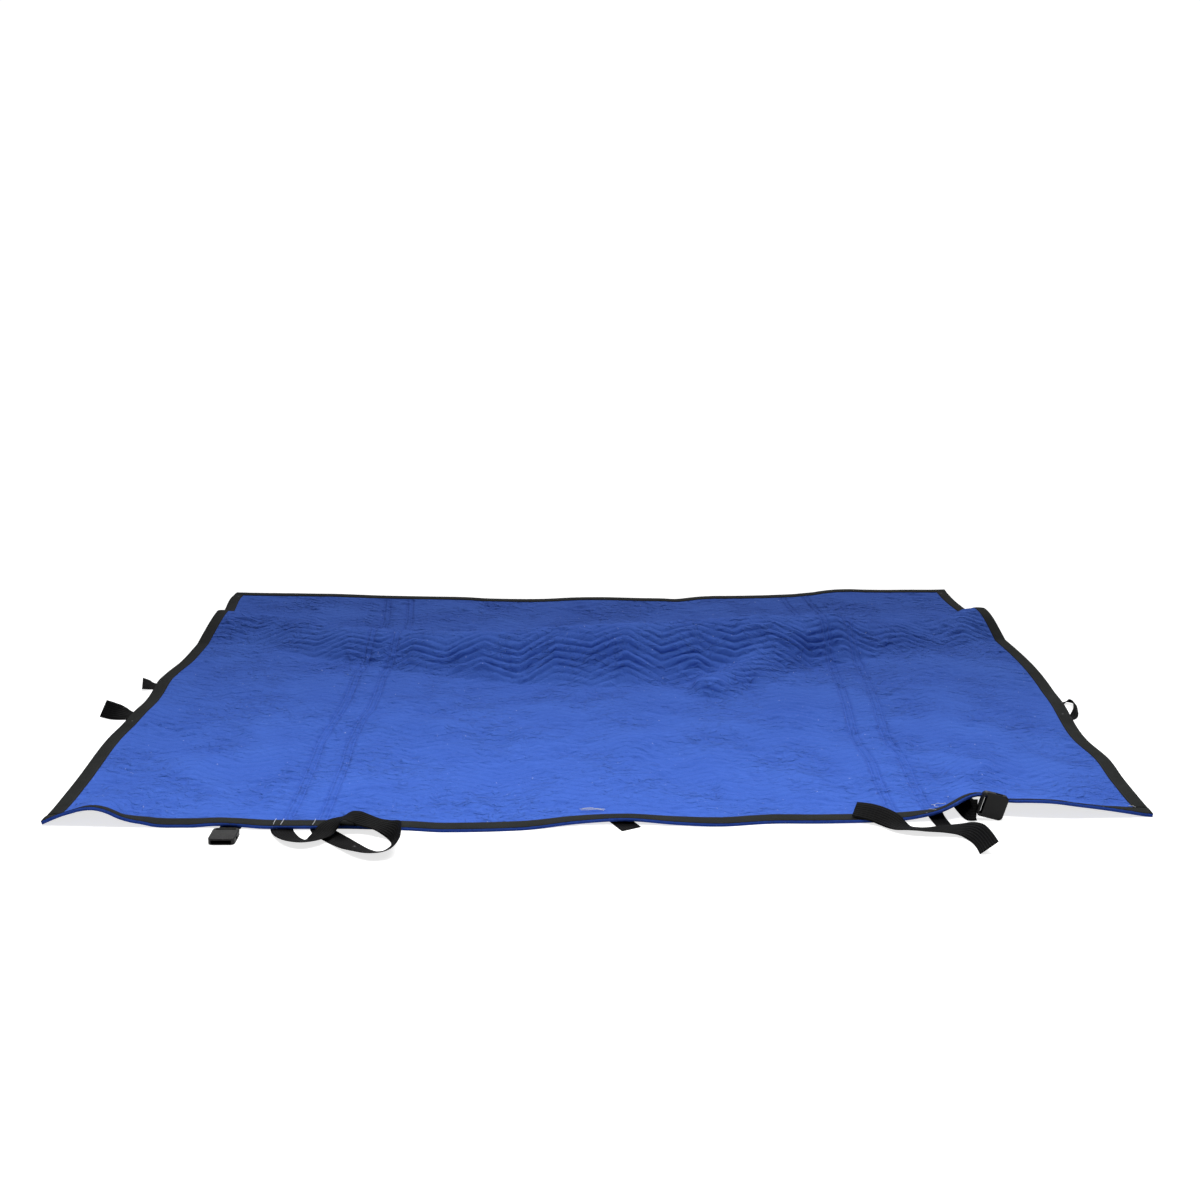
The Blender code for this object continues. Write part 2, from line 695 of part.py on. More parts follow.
def place_origin(frame):
    """Move everything so that the origin is under the middle of the whole object's box."""
    bpy.context.view_layer.update()
    corners = []
    graph = bpy.context.evaluated_depsgraph_get()
    for thing in bpy.data.objects:
        if thing.type != "MESH" or thing.display_type == "WIRE":
            continue
        solid = thing.evaluated_get(graph)
        corners += [solid.matrix_world @ vertex.co for vertex in solid.data.vertices]
    low = [min(corner[axis] for corner in corners) for axis in range(3)]
    high = [max(corner[axis] for corner in corners) for axis in range(3)]
    for thing in bpy.data.objects:
        if thing.type == "MESH" and thing.parent is None:
            thing.parent = frame
    frame.location = (-(low[0] + high[0]) / 2, -(low[1] + high[1]) / 2, -low[2])


def main():
    """Build the blanket."""
    for thing in list(bpy.data.objects):
        bpy.data.objects.remove(thing, do_unlink=True)
    lattice = panel_lattice()
    build_panel(lattice)
    build_tapes(lattice)
    build_ribbon("loop_strap", LOOP_STRAP)
    build_ribbon("tab_front_centre", TAB_CENTRE)
    build_ribbon("strap_front_right", STRAP_RIGHT)
    build_ribbon("webbing_front_right", WEBBING_RIGHT, ROLLED_WIDTH)
    build_ribbon("webbing_buckle_right", WEBBING_BUCKLE_RIGHT)
    build_ribbon("webbing_front_left", WEBBING_LEFT_FRONT)
    build_ribbon("webbing_left_lower", WEBBING_LEFT_LOWER)
    build_ribbon("webbing_left_upper", WEBBING_LEFT_UPPER)
    build_ribbon("loop_right", LOOP_RIGHT, LOOP_WIDTH)
    build_buckle("buckle_front_left", BUCKLE_FRONT_LEFT)
    build_buckle("buckle_front_right", BUCKLE_FRONT_RIGHT)
    frame = bpy.data.objects.new("blanket_frame", None)
    bpy.context.scene.collection.objects.link(frame)
    place_origin(frame)


main()
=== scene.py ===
"""Quilted moving blanket with bound edges, webbing straps and side-release buckles.

The blanket lies spread on a studio floor, with one long rumpled ridge near its back edge.
Units are metres, +Z is up, and +Y runs from the front edge to the back edge. The tables
give plan places on the blanket's own grid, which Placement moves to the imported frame.
"""

from __future__ import annotations

import logging
import math
from dataclasses import dataclass, field
from enum import Enum
from typing import Any, Iterable, Sequence

import bpy
import numpy as np
from mathutils import Matrix, Vector


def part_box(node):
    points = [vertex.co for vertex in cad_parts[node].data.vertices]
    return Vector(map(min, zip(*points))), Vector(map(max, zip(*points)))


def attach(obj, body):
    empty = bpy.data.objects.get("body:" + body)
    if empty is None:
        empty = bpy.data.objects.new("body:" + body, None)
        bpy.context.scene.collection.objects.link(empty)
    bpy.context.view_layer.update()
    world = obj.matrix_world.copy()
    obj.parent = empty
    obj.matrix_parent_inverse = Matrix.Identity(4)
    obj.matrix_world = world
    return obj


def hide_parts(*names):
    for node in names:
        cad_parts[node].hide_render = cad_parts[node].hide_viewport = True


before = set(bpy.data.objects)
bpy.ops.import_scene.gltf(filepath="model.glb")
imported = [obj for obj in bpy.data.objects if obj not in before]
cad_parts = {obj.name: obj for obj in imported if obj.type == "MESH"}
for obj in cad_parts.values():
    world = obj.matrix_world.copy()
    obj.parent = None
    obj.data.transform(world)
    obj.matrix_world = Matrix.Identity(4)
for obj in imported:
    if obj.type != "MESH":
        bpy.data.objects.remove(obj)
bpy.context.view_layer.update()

LOG = logging.getLogger("moving_blanket")

Array = np.ndarray
Socket = bpy.types.NodeSocket
Color = tuple[float, float, float]

BODY = "root"
WEBBING_WIDTH = 0.048
WHITE = (1.0, 1.0, 1.0, 1.0)


# --------------------------------------------------------------------------------------
# Curves and places
# --------------------------------------------------------------------------------------


@dataclass(frozen=True)
class Table:
    """Smooth curve through rows of numbers. The first column is the position."""

    columns: str
    rows: tuple[tuple[float, ...], ...]

    @classmethod
    def numbered(cls, columns: str, rows: Iterable[tuple[float, ...]]) -> Table:
        """Make a curve through rows that are one step apart.

        Args:
            columns: Names of the columns, after the row's number.
            rows: The rows.

        Returns:
            The table, with its rows' numbers as the column "place".
        """
        return cls(f"place {columns}", tuple((float(place), *row) for place, row in enumerate(rows)))

    def read(self, position: Array, column: str) -> Array:
        """Read one column's smooth value at each position.

        Args:
            position: Places along the first column.
            column: Name of the column to read.

        Returns:
            The column's values, held at the table's ends.
        """
        places = np.array([row[0] for row in self.rows])
        values = np.array([row[self.columns.split().index(column)] for row in self.rows])
        spot = np.clip(position, places[0], places[-1])
        low = np.clip(np.searchsorted(places, spot, side="right") - 1, 0, len(places) - 2)
        high = low + 1
        before = np.maximum(low - 1, 0)
        after = np.minimum(high + 1, len(places) - 1)
        span = places[high] - places[low]
        share = (spot - places[low]) / span
        leaving = (values[high] - values[before]) / (places[high] - places[before]) * span
        arriving = (values[after] - values[low]) / (places[after] - places[low]) * span
        square = share * share
        cube = square * share
        return (
            (2 * cube - 3 * square + 1) * values[low]
            + (cube - 2 * square + share) * leaving
            + (3 * square - 2 * cube) * values[high]
            + (cube - square) * arriving
        )


@dataclass(frozen=True)
class Fold:
    """Soft fold in the cloth, from one plan place to another."""

    x0: float
    y0: float
    x1: float
    y1: float
    height: float
    half_width: float

    def rise(self, x: Array, y: Array) -> Array:
        """Height of the fold at each plan place.

        Args:
            x: Plan x of the places.
            y: Plan y of the places.

        Returns:
            Heights in metres, fading out past the fold's two ends.
        """
        run_x = self.x1 - self.x0
        run_y = self.y1 - self.y0
        share = ((x - self.x0) * run_x + (y - self.y0) * run_y) / (run_x**2 + run_y**2)
        share = np.clip(share, 0.0, 1.0)
        away = np.hypot(x - self.x0 - run_x * share, y - self.y0 - run_y * share)
        return self.height * bump(away, self.half_width)


@dataclass(frozen=True)
class Tuck:
    """Place where webbing passes under a side edge: side is -1 for left, +1 for right."""

    side: int
    y: float
    lift: float
    half_length: float
    reach: float


@dataclass(frozen=True)
class Ripple:
    """Unevenness made of many plane waves, the same on each run."""

    seed: int
    shortest: float
    longest: float
    height: float
    waves: int = 26

    def at(self, x: Array, y: Array) -> Array:
        """Unevenness at each plan place.

        Args:
            x: First coordinate of the places.
            y: Second coordinate of the places.

        Returns:
            Values whose usual size is the ripple's height.
        """
        rng = np.random.default_rng(self.seed)
        total = np.zeros(np.broadcast(x, y).shape)
        for _ in range(self.waves):
            turn = rng.uniform(0.0, 2 * math.pi)
            length = math.exp(rng.uniform(math.log(self.shortest), math.log(self.longest)))
            phase = rng.uniform(0.0, 2 * math.pi)
            along = x * math.cos(turn) + y * math.sin(turn)
            total = total + np.sin(2 * math.pi * along / length + phase)
        return self.height * total / math.sqrt(self.waves / 2)


def bump(distance: Array, reach: Array | float) -> Array:
    """Smooth hill.

    Args:
        distance: Distances from the hill's middle.
        reach: Distance at which the hill ends.

    Returns:
        1 in the middle, falling to 0 from reach onward.
    """
    share = np.clip(np.abs(distance) / reach, 0.0, 1.0)
    return 0.5 * (1.0 + np.cos(math.pi * share))


def smooth(share: Array) -> Array:
    """Ease from 0 to 1 with level ends.

    Args:
        share: Values that run from 0 to 1.

    Returns:
        Eased values.
    """
    held = np.clip(share, 0.0, 1.0)
    return held * held * (3.0 - 2.0 * held)


@dataclass(frozen=True)
class PadLayout:
    """Sizes of the pad along the cloth, and where its rows and seams are sewn."""

    width: float = 2.44
    length: float = 1.885
    tape_width: float = 0.034
    nominal_pitch: float = 0.0275
    seam_middles: tuple[float, ...] = (-0.686, -0.611, 0.647, 0.726)
    seam_half: float = 0.008

    @property
    def quilted(self) -> float:
        """Length of the quilting, from the front tape to the back tape."""
        return self.length - 2 * self.tape_width

    @property
    def puffs(self) -> int:
        """Number of puffs between the two tapes."""
        return round(self.quilted / self.nominal_pitch)

    @property
    def pitch(self) -> float:
        """Distance from one row of stitches to the next."""
        return self.quilted / self.puffs

    @property
    def seam_lines(self) -> tuple[float, ...]:
        """Both lines of stitches of every seam, from the panel's middle."""
        return tuple(
            middle + side * self.seam_half for middle in self.seam_middles for side in (-1, 1)
        )


PAD = PadLayout()


@dataclass(frozen=True)
class Placement:
    """Moves plan places on the blanket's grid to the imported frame."""

    node: str = "buckle_front_left"
    grid_x: float = -0.8115
    grid_y: float = -0.0770

    def shift(self) -> Array:
        """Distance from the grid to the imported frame.

        Returns:
            Three numbers, in metres.
        """
        low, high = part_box(self.node)
        middle_x = (low[0] + high[0]) / 2
        middle_y = (low[1] + high[1]) / 2
        return np.array([middle_x - self.grid_x, middle_y - self.grid_y, 0.0])


# --------------------------------------------------------------------------------------
# The lie of the cloth
# --------------------------------------------------------------------------------------

# Crest of the ridge by plan x: its plan y, the height of the underside there, and how far
# the slope runs to the front and to the back.
RIDGE = Table(
    "x crest_y crest_z front_run back_run",
    (
        (-1.24, 1.530, 0.036, 0.24, 0.12),
        (-1.04, 1.485, 0.034, 0.19, 0.12),
        (-0.83, 1.345, 0.048, 0.175, 0.12),
        (-0.63, 1.245, 0.060, 0.170, 0.12),
        (-0.38, 1.165, 0.080, 0.185, 0.13),
        (-0.10, 1.130, 0.106, 0.22, 0.14),
        (0.18, 1.150, 0.115, 0.23, 0.15),
        (0.44, 1.215, 0.110, 0.23, 0.15),
        (0.62, 1.285, 0.092, 0.21, 0.14),
        (0.73, 1.330, 0.076, 0.20, 0.13),
        (0.90, 1.410, 0.042, 0.19, 0.12),
        (1.06, 1.430, 0.036, 0.17, 0.12),
        (1.15, 1.495, 0.050, 0.18, 0.12),
        (1.24, 1.520, 0.044, 0.18, 0.12),
    ),
)

# Front edge by plan x: its plan y, how far it is lifted off the floor, and how far inward
# the lift reaches.
FRONT_EDGE = Table(
    "x y lift reach",
    (
        (-1.230, -0.0050, 0.0020, 0.10),
        (-1.187, -0.0067, 0.0213, 0.10),
        (-1.164, -0.0081, 0.0291, 0.14),
        (-1.137, -0.0097, 0.0369, 0.18),
        (-1.110, -0.0111, 0.0387, 0.18),
        (-1.084, -0.0123, 0.0321, 0.15),
        (-1.058, -0.0134, 0.0195, 0.10),
        (-1.032, -0.0145, 0.0117, 0.10),
        (-1.006, -0.0156, 0.0074, 0.10),
        (-0.980, -0.0165, 0.0018, 0.10),
        (-0.950, -0.0170, 0.0000, 0.10),
        (-0.900, -0.0170, 0.0000, 0.10),
        (-0.846, -0.0195, 0.0052, 0.14),
        (-0.793, -0.0240, 0.0052, 0.14),
        (-0.740, -0.0285, 0.0028, 0.14),
        (-0.690, -0.0310, 0.0036, 0.14),
        (-0.620, -0.0310, 0.0036, 0.14),
        (-0.540, -0.0310, 0.0036, 0.14),
        (-0.430, -0.0310, 0.0000, 0.10),
        (-0.340, -0.0410, 0.0000, 0.10),
        (-0.170, -0.0310, 0.0000, 0.10),
        (-0.050, -0.0060, 0.0040, 0.10),
        (0.060, 0.0000, 0.0080, 0.10),
        (0.170, -0.0090, 0.0030, 0.10),
        (0.270, -0.0110, 0.0000, 0.10),
        (0.380, 0.0040, 0.0000, 0.10),
        (0.480, 0.0030, 0.0010, 0.10),
        (0.580, 0.0060, 0.0015, 0.10),
        (0.633, 0.0095, 0.0020, 0.10),
        (0.686, 0.0135, 0.0052, 0.10),
        (0.740, 0.0170, 0.0156, 0.10),
        (0.766, 0.0210, 0.0234, 0.11),
        (0.792, 0.0310, 0.0321, 0.15),
        (0.818, 0.0400, 0.0432, 0.21),
        (0.845, 0.0450, 0.0481, 0.23),
        (0.872, 0.0460, 0.0419, 0.20),
        (0.900, 0.0450, 0.0344, 0.16),
        (0.926, 0.0405, 0.0341, 0.16),
        (0.953, 0.0365, 0.0359, 0.17),
        (1.008, 0.0325, 0.0353, 0.17),
        (1.062, 0.0320, 0.0282, 0.13),
        (1.117, 0.0345, 0.0199, 0.10),
        (1.172, 0.0370, 0.0103, 0.10),
        (1.216, 0.0390, 0.0022, 0.10),
        (1.240, 0.0400, 0.0000, 0.10),
    ),
)

# Side edges: plan x by plan y.
LEFT_EDGE = Table(
    "y x",
    (
        (-0.02, -1.229),
        (0.24, -1.232),
        (0.50, -1.240),
        (0.71, -1.225),
        (0.86, -1.226),
        (1.00, -1.232),
        (1.13, -1.216),
        (1.31, -1.211),
        (1.52, -1.204),
        (1.66, -1.214),
        (1.80, -1.226),
        (1.88, -1.218),
    ),
)

RIGHT_EDGE = Table(
    "y x",
    (
        (0.03, 1.233),
        (0.24, 1.234),
        (0.37, 1.239),
        (0.50, 1.224),
        (0.64, 1.229),
        (0.80, 1.241),
        (1.02, 1.250),
        (1.20, 1.243),
        (1.42, 1.220),
        (1.60, 1.194),
        (1.75, 1.172),
        (1.86, 1.166),
    ),
)

# The fold that leaves the ridge at the right, then low swells of the whole pad.
FOLDS = (
    Fold(0.70, 1.300, 0.31, 0.880, 0.040, 0.092),
    Fold(0.90, 0.270, 1.02, 0.560, 0.011, 0.100),
    Fold(-1.12, 0.080, -0.98, 0.350, 0.010, 0.090),
    Fold(-0.60, 0.640, -0.20, 0.560, 0.009, 0.100),
    Fold(0.10, 0.480, 0.48, 0.640, 0.010, 0.100),
)

# Places where the side edges lie on webbing.
TUCKS = (
    Tuck(-1, 0.690, 0.006, 0.11, 0.14),
    Tuck(-1, 0.920, 0.006, 0.10, 0.14),
    Tuck(1, 0.725, 0.006, 0.16, 0.14),
)

# Small creases of the upper cover alone.
CREASES = (
    Fold(-0.290, 0.441, -0.083, 0.254, 0.0040, 0.022),
    Fold(-0.262, 0.285, -0.098, 0.414, 0.0030, 0.020),
    Fold(0.133, 0.266, 0.270, 0.401, 0.0045, 0.024),
    Fold(0.370, 0.317, 0.483, 0.503, 0.0045, 0.024),
    Fold(0.705, 0.362, 0.791, 0.531, 0.0050, 0.024),
    Fold(0.949, 0.388, 0.895, 0.242, 0.0045, 0.022),
    Fold(-0.930, 0.610, -0.840, 0.500, 0.0030, 0.022),
    Fold(-0.480, 0.730, -0.350, 0.700, 0.0035, 0.024),
    Fold(0.560, 0.700, 0.640, 0.560, 0.0035, 0.024),
    Fold(1.030, 0.830, 1.120, 0.700, 0.0035, 0.024),
)


@dataclass(frozen=True)
class ClothLie:
    """How the blanket lies: its outline in plan and the height of its underside."""

    width: float = PAD.width
    length: float = PAD.length
    foot_fullness: float = 0.034
    most_fullness: float = 0.6
    slope_step: float = 0.002
    march_step: float = 0.002
    shift: Array = field(default_factory=lambda: Placement().shift())

    def underside(self, x: Array, y: Array) -> Array:
        """Height of the underside above the floor.

        Args:
            x: Plan x of the places.
            y: Plan y of the places.

        Returns:
            Heights in metres.
        """
        from_crest = y - RIDGE.read(x, "crest_y")
        run = np.where(from_crest > 0, RIDGE.read(x, "back_run"), RIDGE.read(x, "front_run"))
        crest = RIDGE.read(x, "crest_z")
        away = np.clip(np.abs(from_crest) / run, 0.0, 1.0)
        full = np.minimum(self.foot_fullness / crest, self.most_fullness) * (from_crest < 0)
        ridge = crest * ((1.0 - full) * bump(from_crest, run) + full * (1.0 - away**2))
        inward = np.maximum(y - FRONT_EDGE.read(x, "y"), 0.0)
        lift = np.maximum(FRONT_EDGE.read(x, "lift"), 0.0)
        share = np.minimum(inward / FRONT_EDGE.read(x, "reach"), 1.0)
        front = lift * (1.0 - share) ** 2
        folds = np.maximum.reduce([fold.rise(x, y) for fold in FOLDS])
        tucks = np.maximum.reduce([self._tuck(tuck, x, y) for tuck in TUCKS])
        return np.hypot(ridge, folds) + front + tucks

    @staticmethod
    def _tuck(tuck: Tuck, x: Array, y: Array) -> Array:
        """Height that webbing under a side edge gives the underside.

        Args:
            tuck: The place where it passes.
            x: Plan x of the places.
            y: Plan y of the places.

        Returns:
            Heights in metres.
        """
        edge = LEFT_EDGE if tuck.side < 0 else RIGHT_EDGE
        inward = np.maximum(tuck.side * (edge.read(y, "x") - x), 0.0)
        return tuck.lift * bump(y - tuck.y, tuck.half_length) * bump(inward, tuck.reach)

    def over(self, x: Array, y: Array, distance: Array | float) -> Array:
        """Points at a distance from the underside, square to it.

        Args:
            x: Plan x of the places.
            y: Plan y of the places.
            distance: Distance from the underside.

        Returns:
            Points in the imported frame, with the three coordinates last.
        """
        step = self.slope_step
        slope_x = (self.underside(x + step, y) - self.underside(x - step, y)) / (2 * step)
        slope_y = (self.underside(x, y + step) - self.underside(x, y - step)) / (2 * step)
        away = distance / np.sqrt(slope_x**2 + slope_y**2 + 1.0)
        height = self.underside(x, y) + away
        return np.stack([x - slope_x * away, y - slope_y * away, height], axis=-1) + self.shift

    def plan_x(self, across: Array, y: Array) -> Array:
        """Plan x of columns of the cloth.

        Args:
            across: Distance of each column from the panel's middle, on the cloth.
            y: Plan y of the places.

        Returns:
            Plan x of the places.
        """
        left = LEFT_EDGE.read(y, "x")
        right = RIGHT_EDGE.read(y, "x")
        return left + (right - left) * (across / self.width + 0.5)

    def places(self, across: Array, lengths: Array) -> tuple[Array, Array]:
        """Plan places of a lattice, measured along the cloth from the front edge.

        Args:
            across: Distance of each column from the panel's middle.
            lengths: Distance from the front edge, a row of columns for each row.

        Returns:
            Plan x and plan y, each shaped like lengths.
        """
        count = math.ceil(self.length / self.march_step) + 1
        travelled = np.arange(count) * self.march_step
        track = np.empty((count, len(across)))
        y = FRONT_EDGE.read(self.plan_x(across, np.zeros_like(across)), "y")
        for index in range(count):
            track[index] = y
            x = self.plan_x(across, y)
            ahead = self.underside(x, y + self.slope_step)
            slope = (ahead - self.underside(x, y)) / self.slope_step
            y = y + self.march_step / np.hypot(1.0, slope)
        plan_y = np.empty(lengths.shape)
        for column in range(len(across)):
            plan_y[:, column] = np.interp(lengths[:, column], travelled, track[:, column])
        return self.plan_x(across[None, :], plan_y), plan_y


# --------------------------------------------------------------------------------------
# Meshes
# --------------------------------------------------------------------------------------


def mesh_object(name: str, points: Array, faces: list[tuple[int, ...]]) -> bpy.types.Object:
    """Make a mesh object.

    Args:
        name: Name of the object and of its mesh.
        points: Points, three numbers each.
        faces: Corners of each face, as indices of points.

    Returns:
        The new object, linked to the scene.
    """
    mesh = bpy.data.meshes.new(name)
    mesh.from_pydata(points.tolist(), [], faces)
    mesh.update()
    thing = bpy.data.objects.new(name, mesh)
    bpy.context.scene.collection.objects.link(thing)
    return thing


def paint_places(thing: bpy.types.Object, name: str, places: Array) -> None:
    """Store a pair of numbers for each point as a UV map.

    Args:
        thing: Object to store them on.
        name: Name of the UV map.
        places: Two numbers for each point.
    """
    mesh = thing.data
    corners = np.empty(len(mesh.loops), dtype=np.int32)
    mesh.loops.foreach_get("vertex_index", corners)
    layer = mesh.uv_layers.new(name=name)
    layer.data.foreach_set("uv", places[corners].astype(np.float32).ravel())


def paint_cloth(
    thing: bpy.types.Object, name: str, across: Array, along: Array, kept: Sequence[int] | None = None
) -> None:
    """Store places on the cloth for the points of a solid made by lattice_solid.

    Args:
        thing: The solid.
        name: Name of the UV map.
        across: First number of the top's points, or of its columns.
        along: Second number of the top's points, or of its rows.
        kept: Rows of the top that the bottom keeps, or None for all.
    """
    grid = np.stack(np.broadcast_arrays(across, along), axis=-1)
    under = grid if kept is None else grid[list(kept)]
    paint_places(thing, name, np.concatenate([grid.reshape(-1, 2), under.reshape(-1, 2)]))


def lattice_solid(
    name: str, top: Array, bottom: Array, kept: Sequence[int] | None = None
) -> bpy.types.Object:
    """Closed solid between two lattices whose columns match.

    Args:
        name: Name of the object.
        top: Points of the upper face, by row and column.
        bottom: Points of the lower face, with as many rows or fewer.
        kept: For each row of the bottom, the row of the top that it lies under, or None
            if they have the same rows.

    Returns:
        The new object. Its first points are the top's, then the bottom's.
    """
    rows, columns = top.shape[:2]
    kept = range(rows) if kept is None else kept
    upper = np.arange(rows * columns).reshape(rows, columns)
    lower = rows * columns + np.arange(bottom.shape[0] * columns).reshape(-1, columns)
    faces: list[tuple[int, ...]] = []
    for grid, up in ((upper, True), (lower, False)):
        quads = np.stack([grid[:-1, :-1], grid[:-1, 1:], grid[1:, 1:], grid[1:, :-1]], axis=-1)
        quads = quads.reshape(-1, 4)
        faces += [tuple(quad) for quad in (quads if up else quads[:, ::-1]).tolist()]
    for column in range(columns - 1):
        after = column + 1
        faces.append((lower[0, column], lower[0, after], upper[0, after], upper[0, column]))
        faces.append((lower[-1, after], lower[-1, column], upper[-1, column], upper[-1, after]))
    for column, turned in ((0, False), (columns - 1, True)):
        for index in range(len(kept) - 1):
            rim = upper[kept[index] : kept[index + 1] + 1, column].tolist()
            corners = [lower[index, column], *rim, lower[index + 1, column]]
            faces.append(tuple(corners[::-1] if turned else corners))
    points = np.concatenate([top.reshape(-1, 3), bottom.reshape(-1, 3)])
    faces = [tuple(int(corner) for corner in face) for face in faces]
    return mesh_object(name, points, faces)


# --------------------------------------------------------------------------------------
# Shader building
# --------------------------------------------------------------------------------------


class Wiring:
    """Adds nodes to one tree and joins them up."""

    def __init__(self, tree: bpy.types.NodeTree) -> None:
        """Start on a tree.

        Args:
            tree: The node tree to add to.
        """
        self.tree = tree

    def node(self, kind: str, **settings: Any) -> bpy.types.Node:
        """Add a node.

        Args:
            kind: Type of the node.
            **settings: Properties to set on it.

        Returns:
            The new node.
        """
        made = self.tree.nodes.new(kind)
        made.location = (len(self.tree.nodes) * 170.0, -60.0 * (len(self.tree.nodes) % 7))
        for name, value in settings.items():
            setattr(made, name, value)
        return made

    def feed(self, socket: Socket, value: Any) -> None:
        """Link a socket to another, or set its value.

        Args:
            socket: Input socket.
            value: An output socket, a number or a tuple.
        """
        if isinstance(value, bpy.types.NodeSocket):
            self.tree.links.new(value, socket)
        else:
            socket.default_value = value

    def math(self, operation: str, *values: Any) -> Socket:
        """Add a maths node.

        Args:
            operation: What it works out.
            *values: Its inputs.

        Returns:
            Its result.
        """
        made = self.node("ShaderNodeMath", operation=operation)
        for socket, value in zip(made.inputs, values):
            self.feed(socket, value)
        return made.outputs[0]

    def ramp(self, value: Any, start: float, end: float, low: float, high: float) -> Socket:
        """Map a range of values onto another, held at its ends.

        Args:
            value: What to map.
            start: Value that gives low.
            end: Value that gives high.
            low: Result at start.
            high: Result at end.

        Returns:
            The mapped value.
        """
        made = self.node("ShaderNodeMapRange")
        for socket, setting in zip(made.inputs, (value, start, end, low, high)):
            self.feed(socket, setting)
        return made.outputs[0]

    def blend(self, share: Any, first: Any, second: Any) -> Socket:
        """Mix two colours.

        Args:
            share: 0 gives the first colour and 1 the second.
            first: Colour or socket.
            second: Colour or socket.

        Returns:
            The mixed colour.
        """
        made = self.node("ShaderNodeMix", data_type="RGBA")
        self.feed(made.inputs["Factor"], share)
        self.feed(made.inputs[6], first)
        self.feed(made.inputs[7], second)
        return made.outputs[2]

    def axes(self, vector: Any) -> tuple[Socket, ...]:
        """Split a vector.

        Args:
            vector: Vector socket.

        Returns:
            Its three coordinates.
        """
        made = self.node("ShaderNodeSeparateXYZ")
        self.feed(made.inputs[0], vector)
        return tuple(made.outputs)

    def nearest(self, value: Any, lines: Iterable[float]) -> Socket:
        """Distance from a value to the nearest of several lines.

        Args:
            value: Value socket.
            lines: Where the lines are.

        Returns:
            The distance, 1 at most.
        """
        distance: Any = 1.0
        for line in lines:
            away = self.math("ABSOLUTE", self.math("SUBTRACT", value, line))
            distance = self.math("MINIMUM", distance, away)
        return distance

    def scaled(self, vector: Any, scale: tuple[float, float, float]) -> Socket:
        """Scale a vector along each axis.

        Args:
            vector: Vector socket.
            scale: Factor for each axis.

        Returns:
            The scaled vector.
        """
        made = self.node("ShaderNodeVectorMath", operation="MULTIPLY")
        self.feed(made.inputs[0], vector)
        made.inputs[1].default_value = scale
        return made.outputs[0]

    def noise(self, vector: Any, scale: Any, detail: float = 3.0) -> Socket:
        """Soft noise between 0 and 1.

        Args:
            vector: Places to read it at.
            scale: Waves for each metre.
            detail: Number of finer layers.

        Returns:
            The noise value.
        """
        made = self.node("ShaderNodeTexNoise")
        self.feed(made.inputs["Vector"], vector)
        self.feed(made.inputs["Scale"], scale)
        made.inputs["Detail"].default_value = detail
        return made.outputs["Fac"]

    def group(self, tree: bpy.types.NodeTree, **inputs: Any) -> dict[str, Socket]:
        """Place a node group with its own values.

        Args:
            tree: The group.
            **inputs: Values or sockets, by the group's input names in lower case.

        Returns:
            The group's outputs, by name in lower case.
        """
        made = self.node("ShaderNodeGroup", node_tree=tree)
        for socket in made.inputs:
            key = socket.name.lower().replace(" ", "_")
            if key in inputs:
                self.feed(socket, inputs[key])
        return {socket.name.lower().replace(" ", "_"): socket for socket in made.outputs}


